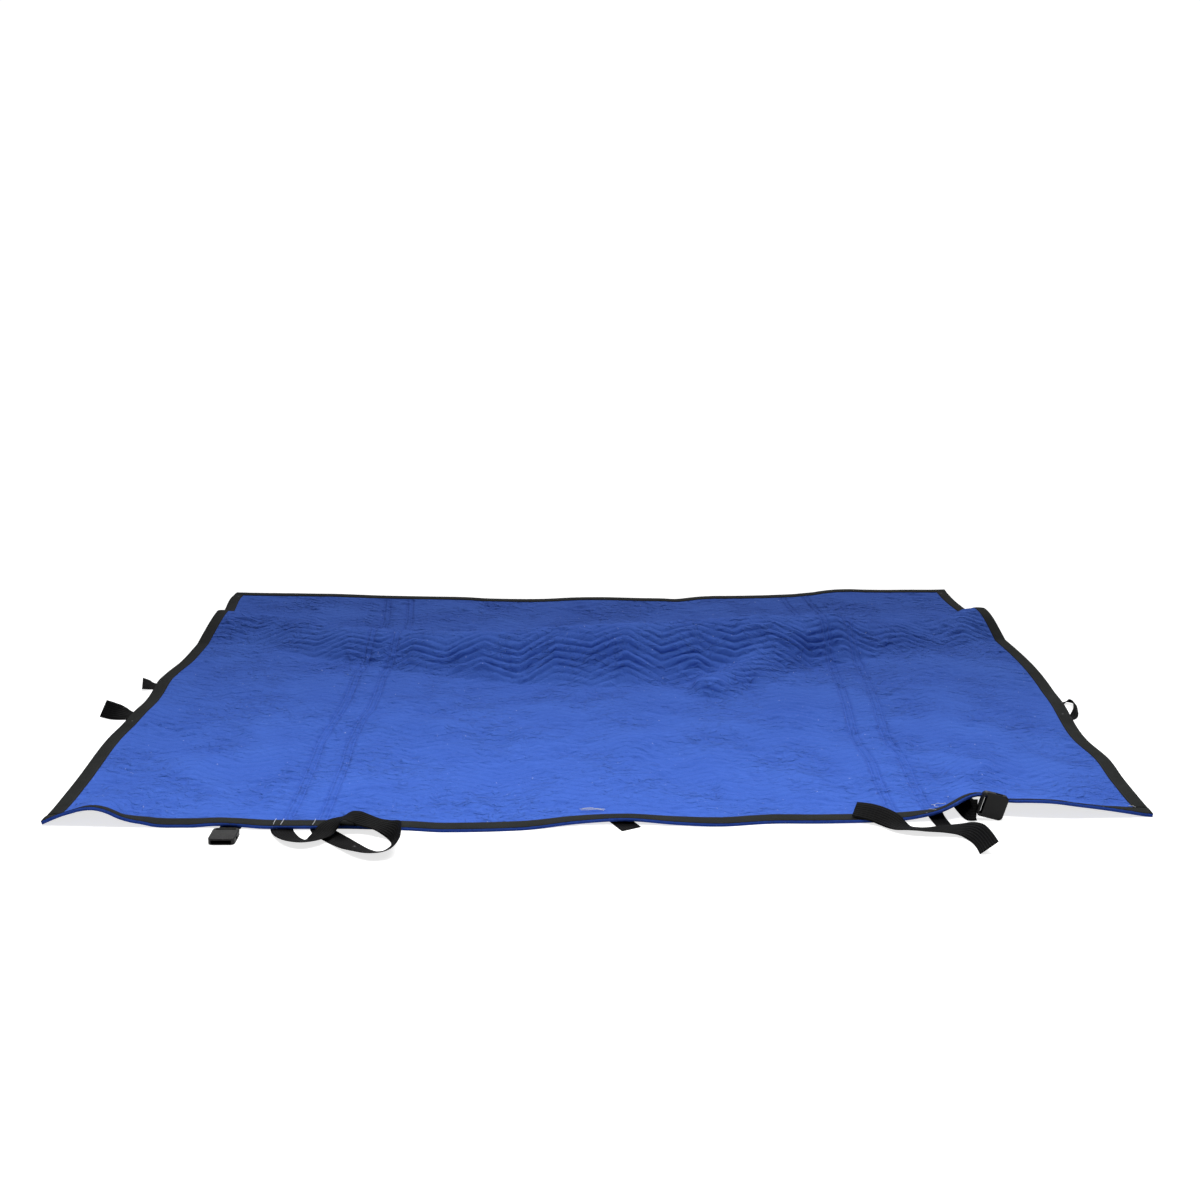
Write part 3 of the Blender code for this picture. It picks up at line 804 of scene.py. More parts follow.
class Effects:
    """Shader node groups that several materials share, each built once."""

    def __init__(self) -> None:
        """Build the groups."""
        self.weave = self._weave()
        self.mottle = self._mottle()
        self.lint = self._lint()
        self.stitches = self._stitches()

    @staticmethod
    def _new(
        name: str, inputs: dict[str, tuple[str, Any]], outputs: Iterable[str]
    ) -> tuple[Wiring, dict[str, Socket], bpy.types.Node]:
        """Start a group.

        Args:
            name: Name of the group.
            inputs: Socket type and first value of each input.
            outputs: Names of its outputs, each a number.

        Returns:
            Wiring for the group, its input sockets by name, and its output node.
        """
        tree = bpy.data.node_groups.new(name, "ShaderNodeTree")
        for label, (kind, value) in inputs.items():
            made = tree.interface.new_socket(label, in_out="INPUT", socket_type=kind)
            if kind == "NodeSocketFloat":
                made.default_value = value
        for label in outputs:
            tree.interface.new_socket(label, in_out="OUTPUT", socket_type="NodeSocketFloat")
        wiring = Wiring(tree)
        source = wiring.node("NodeGroupInput")
        sink = wiring.node("NodeGroupOutput")
        return wiring, {socket.name: socket for socket in source.outputs}, sink

    def _weave(self) -> bpy.types.NodeTree:
        """Threads that pass over and under each other.

        Returns:
            Group with inputs Place, Pitch and Slant, and output Height from 0 to 1.
        """
        wiring, given, sink = self._new(
            "woven_threads",
            {
                "Place": ("NodeSocketVector", None),
                "Pitch": ("NodeSocketFloat", 0.001),
                "Slant": ("NodeSocketFloat", 0.0),
            },
            ("Height",),
        )
        across, along, _ = wiring.axes(given["Place"])
        turns = wiring.math("DIVIDE", 2 * math.pi, given["Pitch"])
        first = wiring.math("MULTIPLY", across, turns)
        second = wiring.math("MULTIPLY", along, turns)
        leaning = wiring.math("MULTIPLY_ADD", second, given["Slant"], first)
        wave = wiring.math("MULTIPLY", wiring.math("SINE", leaning), wiring.math("COSINE", second))
        wiring.feed(sink.inputs["Height"], wiring.math("MULTIPLY_ADD", wave, 0.5, 0.5))
        return wiring.tree

    def _mottle(self) -> bpy.types.NodeTree:
        """Slow and quick changes of tone.

        Returns:
            Group with inputs Place, Scale and Amount, and output Tone around 1.
        """
        wiring, given, sink = self._new(
            "uneven_tone",
            {
                "Place": ("NodeSocketVector", None),
                "Scale": ("NodeSocketFloat", 6.0),
                "Amount": ("NodeSocketFloat", 0.1),
            },
            ("Tone",),
        )
        slow = wiring.noise(given["Place"], given["Scale"], 4.0)
        quick = wiring.noise(given["Place"], wiring.math("MULTIPLY", given["Scale"], 23.0), 2.0)
        both = wiring.math("ADD", slow, wiring.math("MULTIPLY", quick, 0.6))
        centred = wiring.math("MULTIPLY", wiring.math("SUBTRACT", both, 0.8), 2.0)
        tone = wiring.math("MULTIPLY_ADD", centred, given["Amount"], 1.0)
        wiring.feed(sink.inputs["Tone"], tone)
        return wiring.tree

    def _lint(self) -> bpy.types.NodeTree:
        """Scattered pale fibres and dust.

        Returns:
            Group with inputs Place, Scale and Share, and output Mask from 0 to 1.
        """
        wiring, given, sink = self._new(
            "lint",
            {
                "Place": ("NodeSocketVector", None),
                "Scale": ("NodeSocketFloat", 90.0),
                "Share": ("NodeSocketFloat", 0.05),
            },
            ("Mask",),
        )
        bent = wiring.node("ShaderNodeTexNoise")
        wiring.feed(bent.inputs["Vector"], given["Place"])
        wiring.feed(bent.inputs["Scale"], given["Scale"])
        drift = wiring.node("ShaderNodeVectorMath", operation="MULTIPLY_ADD")
        wiring.feed(drift.inputs[0], bent.outputs["Color"])
        drift.inputs[1].default_value = (0.012, 0.012, 0.012)
        wiring.feed(drift.inputs[2], given["Place"])
        cells = wiring.node("ShaderNodeTexVoronoi")
        wiring.feed(cells.inputs["Vector"], wiring.scaled(drift.outputs[0], (1.0, 0.35, 1.0)))
        wiring.feed(cells.inputs["Scale"], given["Scale"])
        pick = wiring.node("ShaderNodeSeparateColor")
        wiring.feed(pick.inputs[0], cells.outputs["Color"])
        chosen = wiring.math("LESS_THAN", pick.outputs[0], given["Share"])
        close = wiring.ramp(cells.outputs["Distance"], 0.10, 0.24, 1.0, 0.0)
        wiring.feed(sink.inputs["Mask"], wiring.math("MULTIPLY", chosen, close))
        return wiring.tree

    def _stitches(self) -> bpy.types.NodeTree:
        """A row of stitches and the dent that it pulls in the cloth.

        Returns:
            Group with inputs Offset, Along, Stitch and Gauge, and outputs Thread and Dent.
        """
        wiring, given, sink = self._new(
            "stitch_row",
            {
                "Offset": ("NodeSocketFloat", 0.0),
                "Along": ("NodeSocketFloat", 0.0),
                "Stitch": ("NodeSocketFloat", 0.005),
                "Gauge": ("NodeSocketFloat", 0.0006),
            },
            ("Thread", "Dent"),
        )
        away = wiring.math("ABSOLUTE", given["Offset"])
        share = wiring.math("DIVIDE", away, given["Gauge"])
        on_line = wiring.ramp(share, 0.7, 1.1, 1.0, 0.0)
        step = wiring.math("FRACT", wiring.math("DIVIDE", given["Along"], given["Stitch"]))
        off_middle = wiring.math("ABSOLUTE", wiring.math("SUBTRACT", step, 0.5))
        shown = wiring.math("LESS_THAN", off_middle, 0.38)
        wiring.feed(sink.inputs["Thread"], wiring.math("MULTIPLY", on_line, shown))
        wide = wiring.math("DIVIDE", share, 5.0)
        square = wiring.math("MULTIPLY", wide, wide)
        fall = wiring.math("EXPONENT", wiring.math("MULTIPLY", square, -1.0))
        wiring.feed(sink.inputs["Dent"], fall)
        return wiring.tree


@dataclass(frozen=True)
class Surface:
    """A new material with its Principled shader ready to be fed."""

    material: bpy.types.Material
    wiring: Wiring
    shader: bpy.types.Node

    @classmethod
    def named(cls, name: str) -> Surface:
        """Start a material.

        Args:
            name: Name of the material.

        Returns:
            The material, its wiring and its shader.
        """
        material = bpy.data.materials.new(name)
        material.use_nodes = True
        shader = material.node_tree.nodes["Principled BSDF"]
        return cls(material, Wiring(material.node_tree), shader)

    def cloth_place(self, name: str) -> Socket:
        """Place on the cloth, from a UV map, in metres.

        Args:
            name: Name of the UV map.

        Returns:
            Vector socket.
        """
        return self.wiring.node("ShaderNodeUVMap", uv_map=name).outputs[0]

    def coat(self, color: Any, roughness: Any, specular: float = 0.5) -> None:
        """Feed the shader's main inputs.

        Args:
            color: Base colour, with its alpha, or a socket.
            roughness: Number or socket.
            specular: Specular level.
        """
        self.wiring.feed(self.shader.inputs["Base Color"], color)
        self.wiring.feed(self.shader.inputs["Roughness"], roughness)
        self.shader.inputs["Specular IOR Level"].default_value = specular

    def raise_by(self, height: Socket, distance: float) -> None:
        """Feed a height to the shader's normal.

        Args:
            height: Height, in units of distance.
            distance: Metres for each unit of height.
        """
        node = self.wiring.node("ShaderNodeBump")
        node.inputs["Strength"].default_value = 1.0
        node.inputs["Distance"].default_value = distance
        self.wiring.feed(node.inputs["Height"], height)
        self.wiring.feed(self.shader.inputs["Normal"], node.outputs[0])


def tinted(color: Color) -> tuple[float, float, float, float]:
    """Colour with its alpha."""
    return (*color, 1.0)


@dataclass(frozen=True)
class Dust:
    """Lint that a surface has caught."""

    color: Color
    scale: float
    share: float
    strength: float

    def over(self, wiring: Wiring, effects: Effects, place: Socket, color: Socket) -> Socket:
        """Lay the lint over a colour.

        Args:
            wiring: The material's wiring.
            effects: The shared groups.
            place: Where the lint is read.
            color: The colour under it.

        Returns:
            The speckled colour.
        """
        mask = wiring.group(effects.lint, place=place, scale=self.scale, share=self.share)["mask"]
        return wiring.blend(wiring.math("MULTIPLY", mask, self.strength), color, tinted(self.color))


@dataclass(frozen=True)
class QuiltedClothFinish:
    """Royal-blue woven cover, quilted in zigzag rows, with painted shade in its stitch dents, pucker
    hollows and steep sides.
    """

    color: Color = (0.066, 0.160, 0.600)
    # Dark blue: the dark end of the cloth's random tone, and also the painted shade in stitch dents, pucker
    # hollows and steep sides.
    deep_tone_and_shade: Color = (0.021, 0.060, 0.350)
    dust: Dust = Dust((0.42, 0.50, 0.74), 170.0, 0.02, 0.55)
    stitch: float = 0.0055
    gauge: float = 0.0006
    seam_gauge_ratio: float = 1.9
    row_wander: float = 0.003
    weave_pitch: float = 0.0016
    pucker_scale: float = 58.0
    pucker_narrowing: float = 0.62
    pucker_drift: float = 0.10
    calm_share: float = 0.22
    relief: float = 0.0022
    row_depth: float = -0.45
    seam_depth: float = -0.7
    pucker_height: float = 8.5
    thread_height: float = 0.15
    weave_height: float = 0.10

    def make(self, effects: Effects) -> bpy.types.Material:
        """Build the material.

        Args:
            effects: The shared groups.

        Returns:
            The material.
        """
        surface = Surface.named("quilted_cloth_look")
        wiring = surface.wiring
        place = surface.cloth_place("cloth")
        row, seam = self._sewing(surface, effects, place)
        pucker, ruffled = self._puckers(wiring, place)
        thread = wiring.math("MAXIMUM", row["thread"], seam["thread"])
        weave = wiring.group(effects.weave, place=place, pitch=self.weave_pitch, slant=0.0)["height"]
        tone = wiring.group(effects.mottle, place=place, scale=5.0, amount=0.16)["tone"]
        # Painted shade: the colour is darkened towards the dark blue in the stitch dents of rows and seams
        # and in the hollows between puckers.
        row_painted_shade = wiring.math("MULTIPLY", row["dent"], 0.4)
        seam_painted_shade = wiring.math("MULTIPLY", seam["dent"], 0.6)
        dent = wiring.math("MAXIMUM", row_painted_shade, seam_painted_shade)
        painted_hollow_shade = wiring.math("MAXIMUM", dent, wiring.ramp(pucker, -0.16, -0.05, 0.6, 0.0))
        bright, dark_tone_and_shade = tinted(self.color), tinted(self.deep_tone_and_shade)
        shaded = wiring.blend(wiring.ramp(tone, 0.80, 1.20, 0.75, 0.0), bright, dark_tone_and_shade)
        with_painted_shade = wiring.blend(wiring.math("MULTIPLY", painted_hollow_shade, 0.65), shaded, dark_tone_and_shade)
        stitched = wiring.blend(wiring.math("MULTIPLY", thread, 0.55), with_painted_shade, bright)
        specked = self.dust.over(wiring, effects, place, stitched)
        # Painted shade: faces that tilt far from straight up, such as the pad's side rim, are blended
        # towards the dark blue.
        facing = wiring.axes(wiring.node("ShaderNodeNewGeometry").outputs["True Normal"])
        rim = wiring.ramp(facing[2], 0.25, 0.60, 0.80, 0.0)
        final = wiring.blend(rim, specked, dark_tone_and_shade)
        surface.coat(final, wiring.ramp(pucker, -0.3, 0.3, 0.82, 0.95), specular=0.05)
        surface.shader.inputs["Sheen Weight"].default_value = 0.02
        surface.shader.inputs["Sheen Roughness"].default_value = 0.5
        taut = wiring.ramp(ruffled, self.calm_share, 1.0, 0.25, 1.0)
        sewn = wiring.math("MULTIPLY", row["dent"], taut)
        height = wiring.math("MULTIPLY", sewn, self.row_depth)
        for layer, share in (
            (seam["dent"], self.seam_depth),
            (pucker, self.pucker_height),
            (thread, self.thread_height),
            (weave, self.weave_height),
        ):
            height = wiring.math("MULTIPLY_ADD", layer, share, height)
        surface.raise_by(height, self.relief)
        return surface.material

    def _sewing(
        self, surface: Surface, effects: Effects, place: Socket
    ) -> tuple[dict[str, Socket], dict[str, Socket]]:
        """Stitches of the quilting rows and of the joining seams.

        Args:
            surface: The material's surface.
            effects: The shared groups.
            place: Place on the cloth.

        Returns:
            Thread and dent of the rows, then of the seams.
        """
        wiring = surface.wiring
        across, along, _ = wiring.axes(surface.cloth_place("rows"))
        uneven = wiring.math("MULTIPLY_ADD", wiring.noise(place, 55.0, 2.0), self.row_wander, along)
        start = PAD.tape_width + self.row_wander / 2
        count = wiring.math("DIVIDE", wiring.math("SUBTRACT", uneven, start), PAD.pitch)
        off_row = wiring.math("SUBTRACT", count, wiring.math("ROUND", count))
        row = wiring.group(
            effects.stitches,
            offset=wiring.math("MULTIPLY", off_row, PAD.pitch),
            along=across,
            stitch=self.stitch,
            gauge=self.gauge,
        )
        seam = wiring.group(
            effects.stitches,
            offset=wiring.nearest(across, PAD.seam_lines),
            along=along,
            stitch=self.stitch,
            gauge=self.gauge * self.seam_gauge_ratio,
        )
        return row, seam

    def _puckers(self, wiring: Wiring, place: Socket) -> tuple[Socket, Socket]:
        """Small folds that the stitches pull in the cover.

        Args:
            wiring: The material's wiring.
            place: Place on the cloth.

        Returns:
            Height of the folds, and the share of them that each stretch of cloth keeps.
        """
        ruffled = wiring.ramp(wiring.noise(place, 4.6, 3.0), 0.40, 0.60, self.calm_share, 1.0)
        bent = wiring.math("MULTIPLY", wiring.noise(place, 9.0, 2.0), self.pucker_drift)
        across, along, _ = wiring.axes(place)
        stretched = wiring.node("ShaderNodeCombineXYZ")
        wiring.feed(stretched.inputs[0], wiring.math("MULTIPLY", across, self.pucker_narrowing))
        wiring.feed(stretched.inputs[1], wiring.math("ADD", along, bent))
        folds = wiring.noise(stretched.outputs[0], self.pucker_scale, 3.0)
        middle = wiring.math("SUBTRACT", folds, 0.5)
        crease = wiring.ramp(wiring.math("ABSOLUTE", middle), 0.0, 0.11, -0.10, 0.0)
        return wiring.math("MULTIPLY", wiring.math("ADD", middle, crease), ruffled), ruffled


@dataclass(frozen=True)
class TapeFinish:
    """Charcoal twill tape with a row of stitches near each edge."""

    color: Color = (0.0085, 0.0092, 0.0088)
    worn: Color = (0.024, 0.026, 0.025)
    thread: Color = (0.030, 0.032, 0.033)
    dust: Dust = Dust((0.30, 0.31, 0.32), 80.0, 0.05, 0.35)
    stitch_inset: float = 0.0040
    stitch: float = 0.0045
    gauge: float = 0.0005
    weave_pitch: float = 0.0022
    relief: float = 0.0008
    dent_depth: float = -0.8
    weave_height: float = 0.35

    def make(self, effects: Effects) -> bpy.types.Material:
        """Build the material.

        Args:
            effects: The shared groups.

        Returns:
            The material.
        """
        surface = Surface.named("binding_tape_look")
        wiring = surface.wiring
        place = surface.cloth_place("cloth")
        along, sewn, _ = wiring.axes(place)
        lines = (self.stitch_inset, PAD.tape_width - self.stitch_inset)
        rows = wiring.group(
            effects.stitches,
            offset=wiring.nearest(sewn, lines),
            along=along,
            stitch=self.stitch,
            gauge=self.gauge,
        )
        tone = wiring.group(effects.mottle, place=place, scale=11.0, amount=0.30)["tone"]
        weave = wiring.group(effects.weave, place=place, pitch=self.weave_pitch, slant=1.0)["height"]
        base = wiring.blend(
            wiring.ramp(tone, 0.75, 1.35, 0.0, 1.0), tinted(self.color), tinted(self.worn)
        )
        stitched = wiring.blend(rows["thread"], base, tinted(self.thread))
        final = self.dust.over(wiring, effects, place, stitched)
        surface.coat(final, wiring.ramp(weave, 0.0, 1.0, 0.88, 0.72), specular=0.08)
        threads = wiring.math("MULTIPLY", weave, self.weave_height)
        height = wiring.math("MULTIPLY_ADD", rows["dent"], self.dent_depth, threads)
        surface.raise_by(height, self.relief)
        return surface.material


@dataclass(frozen=True)
class WebbingFinish:
    """Black woven webbing with lengthwise ribs."""

    color: Color = (0.0045, 0.0045, 0.0048)
    worn: Color = (0.011, 0.011, 0.0115)
    dust: Dust = Dust((0.32, 0.32, 0.33), 90.0, 0.04, 0.22)
    weave_pitch: float = 0.0032
    rib_pitch: float = 0.0060
    rib_share: float = 0.9
    relief: float = 0.0005

    def make(self, effects: Effects) -> bpy.types.Material:
        """Build the material.

        Args:
            effects: The shared groups.

        Returns:
            The material.
        """
        surface = Surface.named("webbing_look")
        wiring = surface.wiring
        place = surface.cloth_place("cloth")
        across = wiring.axes(place)[0]
        tone = wiring.group(effects.mottle, place=place, scale=16.0, amount=0.30)["tone"]
        weave = wiring.group(effects.weave, place=place, pitch=self.weave_pitch, slant=1.0)["height"]
        share = wiring.math("MULTIPLY", wiring.ramp(tone, 0.75, 1.35, 0.1, 0.9), weave)
        base = wiring.blend(share, tinted(self.color), tinted(self.worn))
        final = self.dust.over(wiring, effects, place, base)
        surface.coat(final, wiring.ramp(weave, 0.0, 1.0, 0.78, 0.55), specular=0.05)
        rib = wiring.math("SINE", wiring.math("MULTIPLY", across, 2 * math.pi / self.rib_pitch))
        surface.raise_by(wiring.math("MULTIPLY_ADD", rib, self.rib_share, weave), self.relief)
        return surface.material


@dataclass(frozen=True)
class PlasticFinish:
    """Black moulded plastic with a fine grain."""

    color: Color = (0.0055, 0.0055, 0.0058)
    scuffed: Color = (0.028, 0.028, 0.029)
    dust: Dust = Dust((0.30, 0.30, 0.31), 240.0, 0.03, 0.3)
    grain_scale: float = 2600.0
    relief: float = 0.00012

    def make(self, effects: Effects) -> bpy.types.Material:
        """Build the material.

        Args:
            effects: The shared groups.

        Returns:
            The material.
        """
        surface = Surface.named("buckle_plastic_look")
        wiring = surface.wiring
        place = wiring.node("ShaderNodeTexCoord").outputs["Object"]
        tone = wiring.group(effects.mottle, place=place, scale=60.0, amount=0.5)["tone"]
        share = wiring.ramp(tone, 1.0, 1.6, 0.0, 0.5)
        base = wiring.blend(share, tinted(self.color), tinted(self.scuffed))
        final = self.dust.over(wiring, effects, place, base)
        surface.coat(final, wiring.ramp(tone, 0.6, 1.5, 0.34, 0.52), specular=0.32)
        surface.raise_by(wiring.noise(place, self.grain_scale, 2.0), self.relief)
        return surface.material


@dataclass(frozen=True)
class ThreadFinish:
    """Loose white sewing thread."""

    color: Color = (0.62, 0.63, 0.65)
    shaded: Color = (0.36, 0.40, 0.52)

    def make(self, effects: Effects) -> bpy.types.Material:
        """Build the material.

        Args:
            effects: The shared groups.

        Returns:
            The material.
        """
        surface = Surface.named("loose_thread_look")
        wiring = surface.wiring
        place = wiring.node("ShaderNodeTexCoord").outputs["Object"]
        tone = wiring.group(effects.mottle, place=place, scale=120.0, amount=0.35)["tone"]
        share = wiring.ramp(tone, 0.7, 1.3, 0.5, 0.0)
        surface.coat(wiring.blend(share, tinted(self.color), tinted(self.shaded)), 0.7)
        return surface.material


@dataclass
class Palette:
    """The materials of the blanket, each made once."""

    cloth: bpy.types.Material
    tape: bpy.types.Material
    webbing: bpy.types.Material
    plastic: bpy.types.Material
    thread: bpy.types.Material

    @classmethod
    def mixed(cls) -> Palette:
        """Build all the materials.

        Returns:
            The palette.
        """
        effects = Effects()
        finishes = (
            QuiltedClothFinish(), TapeFinish(), WebbingFinish(), PlasticFinish(), ThreadFinish()
        )
        return cls(*(finish.make(effects) for finish in finishes))


# --------------------------------------------------------------------------------------
# The quilted panel
# --------------------------------------------------------------------------------------


@dataclass
class QuiltedPanel:
    """The pad: two covers and their filling, quilted in zigzag rows."""

    lie: ClothLie
    edge_thickness: float = 0.0072
    stitch_thickness: float = 0.0045
    puff_thickness: float = 0.0088
    least_thickness: float = 0.0015
    puff_roundness: float = 0.75
    zigzag_period: float = 0.205
    zigzag_rise: float = 0.057
    zigzag_point_x: float = -0.034
    zigzag_ease: float = 0.12
    rows_to_a_puff: int = 5
    columns_to_a_swing: int = 9
    rim_steps: int = 4
    rim_reach: float = 0.012
    seam_clearance: float = 0.018
    seam_depth: float = 0.0014
    seam_pull: float = 0.75
    wander: Ripple = Ripple(5, 0.07, 0.30, 0.0022)
    drift: Ripple = Ripple(17, 0.50, 1.40, 0.0070)
    swell: Ripple = Ripple(9, 0.045, 0.16, 0.38)
    patches: Ripple = Ripple(23, 0.12, 0.42, 0.55)
    sag: Ripple = Ripple(13, 0.09, 0.35, 0.0008)
    rumple: Ripple = Ripple(29, 0.034, 0.075, 1.0, 80)
    rumple_height: float = 0.0009
    crinkle_depth: float = 0.0016
    crinkle_width: float = 0.55
    crinkle_share: float = 0.75
    crinkle_patches: float = 1.1
    crinkle_limits: tuple[float, float] = (0.12, 1.6)
    swell_limits: tuple[float, float] = (0.35, 1.35)
    flat_relief: float = 0.13
    ridge_relief: float = 0.90
    relief_limits: tuple[float, float] = (0.03, 1.10)
    slope_middle: float = 0.48
    slope_reach: float = 0.62
    low_ridge: float = 0.015
    ridge_growth: float = 0.035
    side_fold_share: float = 0.7

    def build(self, palette: Palette) -> bpy.types.Object:
        """Build and dress the panel.

        Args:
            palette: The blanket's materials.

        Returns:
            The panel.
        """
        across = self._columns()
        rows = self._rows()
        drifted = across[None, :] + self.drift.at(across[None, :], rows[:, None])
        swung = rows[:, None] + self._swing(drifted) * self._ease(rows)[:, None]
        stray = self.wander.at(across[None, :], rows[:, None]) * self._inside(across, rows)
        x, y = self.lie.places(across, swung + stray)
        top = self.lie.over(x, y, self._thickness(across, rows, x, y))
        kept = list(range(0, len(rows), 2 * self.rows_to_a_puff))
        if kept[-1] != len(rows) - 1:
            kept.append(len(rows) - 1)
        bottom = self.lie.over(x[kept], y[kept], 0.0)
        panel = lattice_solid("blanket_panel", top, bottom, kept)
        panel.data.shade_smooth()
        paint_cloth(panel, "cloth", across[None, :], swung, kept)
        paint_cloth(panel, "rows", across[None, :], rows[:, None], kept)
        panel.data.materials.append(palette.cloth)
        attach(panel, BODY)
        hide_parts("quilted_panel")
        return panel

    def _columns(self) -> Array:
        """Columns across the panel, closer together at the seams.

        Returns:
            Distances from the panel's middle.
        """
        half = self.lie.width / 2
        inner = half - PAD.tape_width
        step = self.zigzag_period / 2 / self.columns_to_a_swing
        first = math.ceil((-inner - self.zigzag_point_x) / step)
        last = math.floor((inner - self.zigzag_point_x) / step)
        plain = self.zigzag_point_x + step * np.arange(first, last + 1)
        near = np.min([np.abs(plain - middle) for middle in PAD.seam_middles], axis=0)
        plain = plain[(near > self.seam_clearance) & (np.abs(plain) < inner - step / 3)]
        offsets = PAD.seam_half * np.linspace(-2.0, 2.0, 9)
        seams = [middle + offsets for middle in PAD.seam_middles]
        rim = np.linspace(inner, half, self.rim_steps + 1)
        return np.sort(np.concatenate([plain, *seams, rim, -rim]))

    def _rows(self) -> Array:
        """Rows from the front edge to the back, before the zigzag swings them.

        Returns:
            Distances from the front edge.
        """
        count = PAD.puffs * self.rows_to_a_puff
        inner = PAD.tape_width + PAD.quilted * np.arange(count + 1) / count
        rim = np.linspace(0.0, PAD.tape_width, self.rim_steps + 1)[:-1]
        return np.concatenate([rim, inner, self.lie.length - rim[::-1]])

    def _swing(self, across: Array) -> Array:
        """Swing of the quilting rows, lowest at the points that face the front edge.

        Args:
            across: Columns of the cloth.

        Returns:
            Distance by which the rows are moved back there.
        """
        phase = np.abs((across - self.zigzag_point_x) / self.zigzag_period % 1.0 - 0.5)
        return self.zigzag_rise * (0.5 - 2 * phase)

    def _ease(self, rows: Array) -> Array:
        """Share of the swing that each row keeps; the rows straighten at both ends.

        Args:
            rows: Rows of the cloth.

        Returns:
            Shares from 0 to 1.
        """
        front = (rows - PAD.tape_width) / self.zigzag_ease
        back = (self.lie.length - PAD.tape_width - rows) / self.zigzag_ease
        return smooth(np.minimum(front, back))

    def _inside(self, across: Array, rows: Array, reach: float = 0.02) -> Array:
        """How far inside the tape each point is.

        Args:
            across: Columns of the cloth.
            rows: Rows of the cloth.
            reach: Distance over which it grows from 0 to 1.

        Returns:
            Shares from 0 at the tape to 1.
        """
        side = self.lie.width / 2 - PAD.tape_width - np.abs(across)[None, :]
        front = (rows - PAD.tape_width)[:, None]
        back = (self.lie.length - PAD.tape_width - rows)[:, None]
        return smooth(np.minimum(np.minimum(front, back), side) / reach)

    def _on_slope(self, x: Array, y: Array) -> Array:
        """How much each place lies on the front slope of the ridge or of its side fold.

        Args:
            x: Plan x of the places.
            y: Plan y of the places.

        Returns:
            Shares from 0 to 1.
        """
        from_crest = y - RIDGE.read(x, "crest_y")
        run = RIDGE.read(x, "front_run")
        slope = bump(from_crest + self.slope_middle * run, self.slope_reach * run)
        tall = smooth((RIDGE.read(x, "crest_z") - self.low_ridge) / self.ridge_growth)
        side = FOLDS[0].rise(x, y) / FOLDS[0].height
        return np.maximum(slope * tall, self.side_fold_share * side)

    def _thickness(self, across: Array, rows: Array, x: Array, y: Array) -> Array:
        """Thickness of the pad at each point.

        Args:
            across: Columns of the cloth.
            rows: Rows of the cloth.
            x: Plan x of the points.
            y: Plan y of the points.

        Returns:
            Thicknesses in metres.
        """
        phase = (rows - PAD.tape_width) / PAD.pitch % 1.0
        puff = np.sin(math.pi * phase)[:, None] ** self.puff_roundness
        swell = np.clip(1.0 + self.swell.at(across[None, :], rows[:, None]), *self.swell_limits)
        patchy = self.patches.at(x, y)
        relief = self.flat_relief * (1.0 + patchy) + self.ridge_relief * self._on_slope(x, y)
        relief = np.clip(relief, *self.relief_limits)
        fullness = puff * swell * relief + 0.5 * (1.0 - relief)
        body = (self.puff_thickness - self.stitch_thickness) * fullness
        groove = np.max([bump(across - line, PAD.seam_half) for line in PAD.seam_lines], axis=0)
        quilt = self.stitch_thickness + body * (1.0 - self.seam_pull * groove)[None, :]
        quilt = quilt - self.seam_depth * groove[None, :]
        quilt = quilt + np.maximum.reduce([crease.rise(x, y) for crease in CREASES])
        rumple = self.rumple.at(x, y)
        valley = np.exp(-((rumple / self.crinkle_width) ** 2))
        crinkle = self.rumple_height * rumple - self.crinkle_depth * valley
        share = np.clip(self.crinkle_share + self.crinkle_patches * patchy, *self.crinkle_limits)
        quilt = np.maximum(quilt + self.sag.at(x, y) + crinkle * share, self.least_thickness)
        inside = self._inside(across, rows, self.rim_reach)
        return self.edge_thickness + (quilt - self.edge_thickness) * inside


class Edge(Enum):
    """Edge of the blanket that a length of tape binds."""

    FRONT = "front"
    BACK = "back"
    LEFT = "left"
    RIGHT = "right"


@dataclass
class BindingTape:
    """One length of tape sewn flat over an edge of the pad."""

    name: str
    node: str
    lie: ClothLie
    across: tuple[float, float]
    length: tuple[float, float]
    edge: Edge
    base: float = 0.0076
    thickness: float = 0.0012
    edge_share: float = 0.35
    roundness: float = 0.35
    points_across: int = 8
    points_along_end: int = 240
    points_along_side: int = 260
    pucker: Ripple = Ripple(21, 0.03, 0.12, 0.0004)

    def build(self, palette: Palette) -> bpy.types.Object:
        """Build and dress the tape.

        Args:
            palette: The blanket's materials.

        Returns:
            The tape.
        """
        sideways = self.edge in (Edge.LEFT, Edge.RIGHT)
        columns = np.linspace(*self.across, self.points_across if sideways else self.points_along_end)
        rows = np.linspace(*self.length, self.points_along_side if sideways else self.points_across)
        lengths = np.broadcast_to(rows[:, None], (len(rows), len(columns)))
        x, y = self.lie.places(columns, lengths)
        across, along = np.broadcast_arrays(columns[None, :], rows[:, None])
        sewn = {
            Edge.FRONT: along,
            Edge.BACK: self.lie.length - along,
            Edge.LEFT: across + self.lie.width / 2,
            Edge.RIGHT: self.lie.width / 2 - across,
        }[self.edge]
        share = np.clip(sewn / np.ptp(sewn), 0.0, 1.0)
        crown = np.sin(math.pi * share) ** self.roundness
        lift = self.thickness * (self.edge_share + (1.0 - self.edge_share) * crown)
        lift = lift + np.abs(self.pucker.at(x, y)) * crown
        top = self.lie.over(x, y, self.base + lift)
        bottom = self.lie.over(x, y, self.base)
        tape = lattice_solid(self.name, top, bottom)
        tape.data.shade_smooth()
        paint_cloth(tape, "cloth", along if sideways else across, sewn)
        tape.data.materials.append(palette.tape)
        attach(tape, BODY)
        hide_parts(self.node)
        return tape


# --------------------------------------------------------------------------------------
# Straps
# --------------------------------------------------------------------------------------


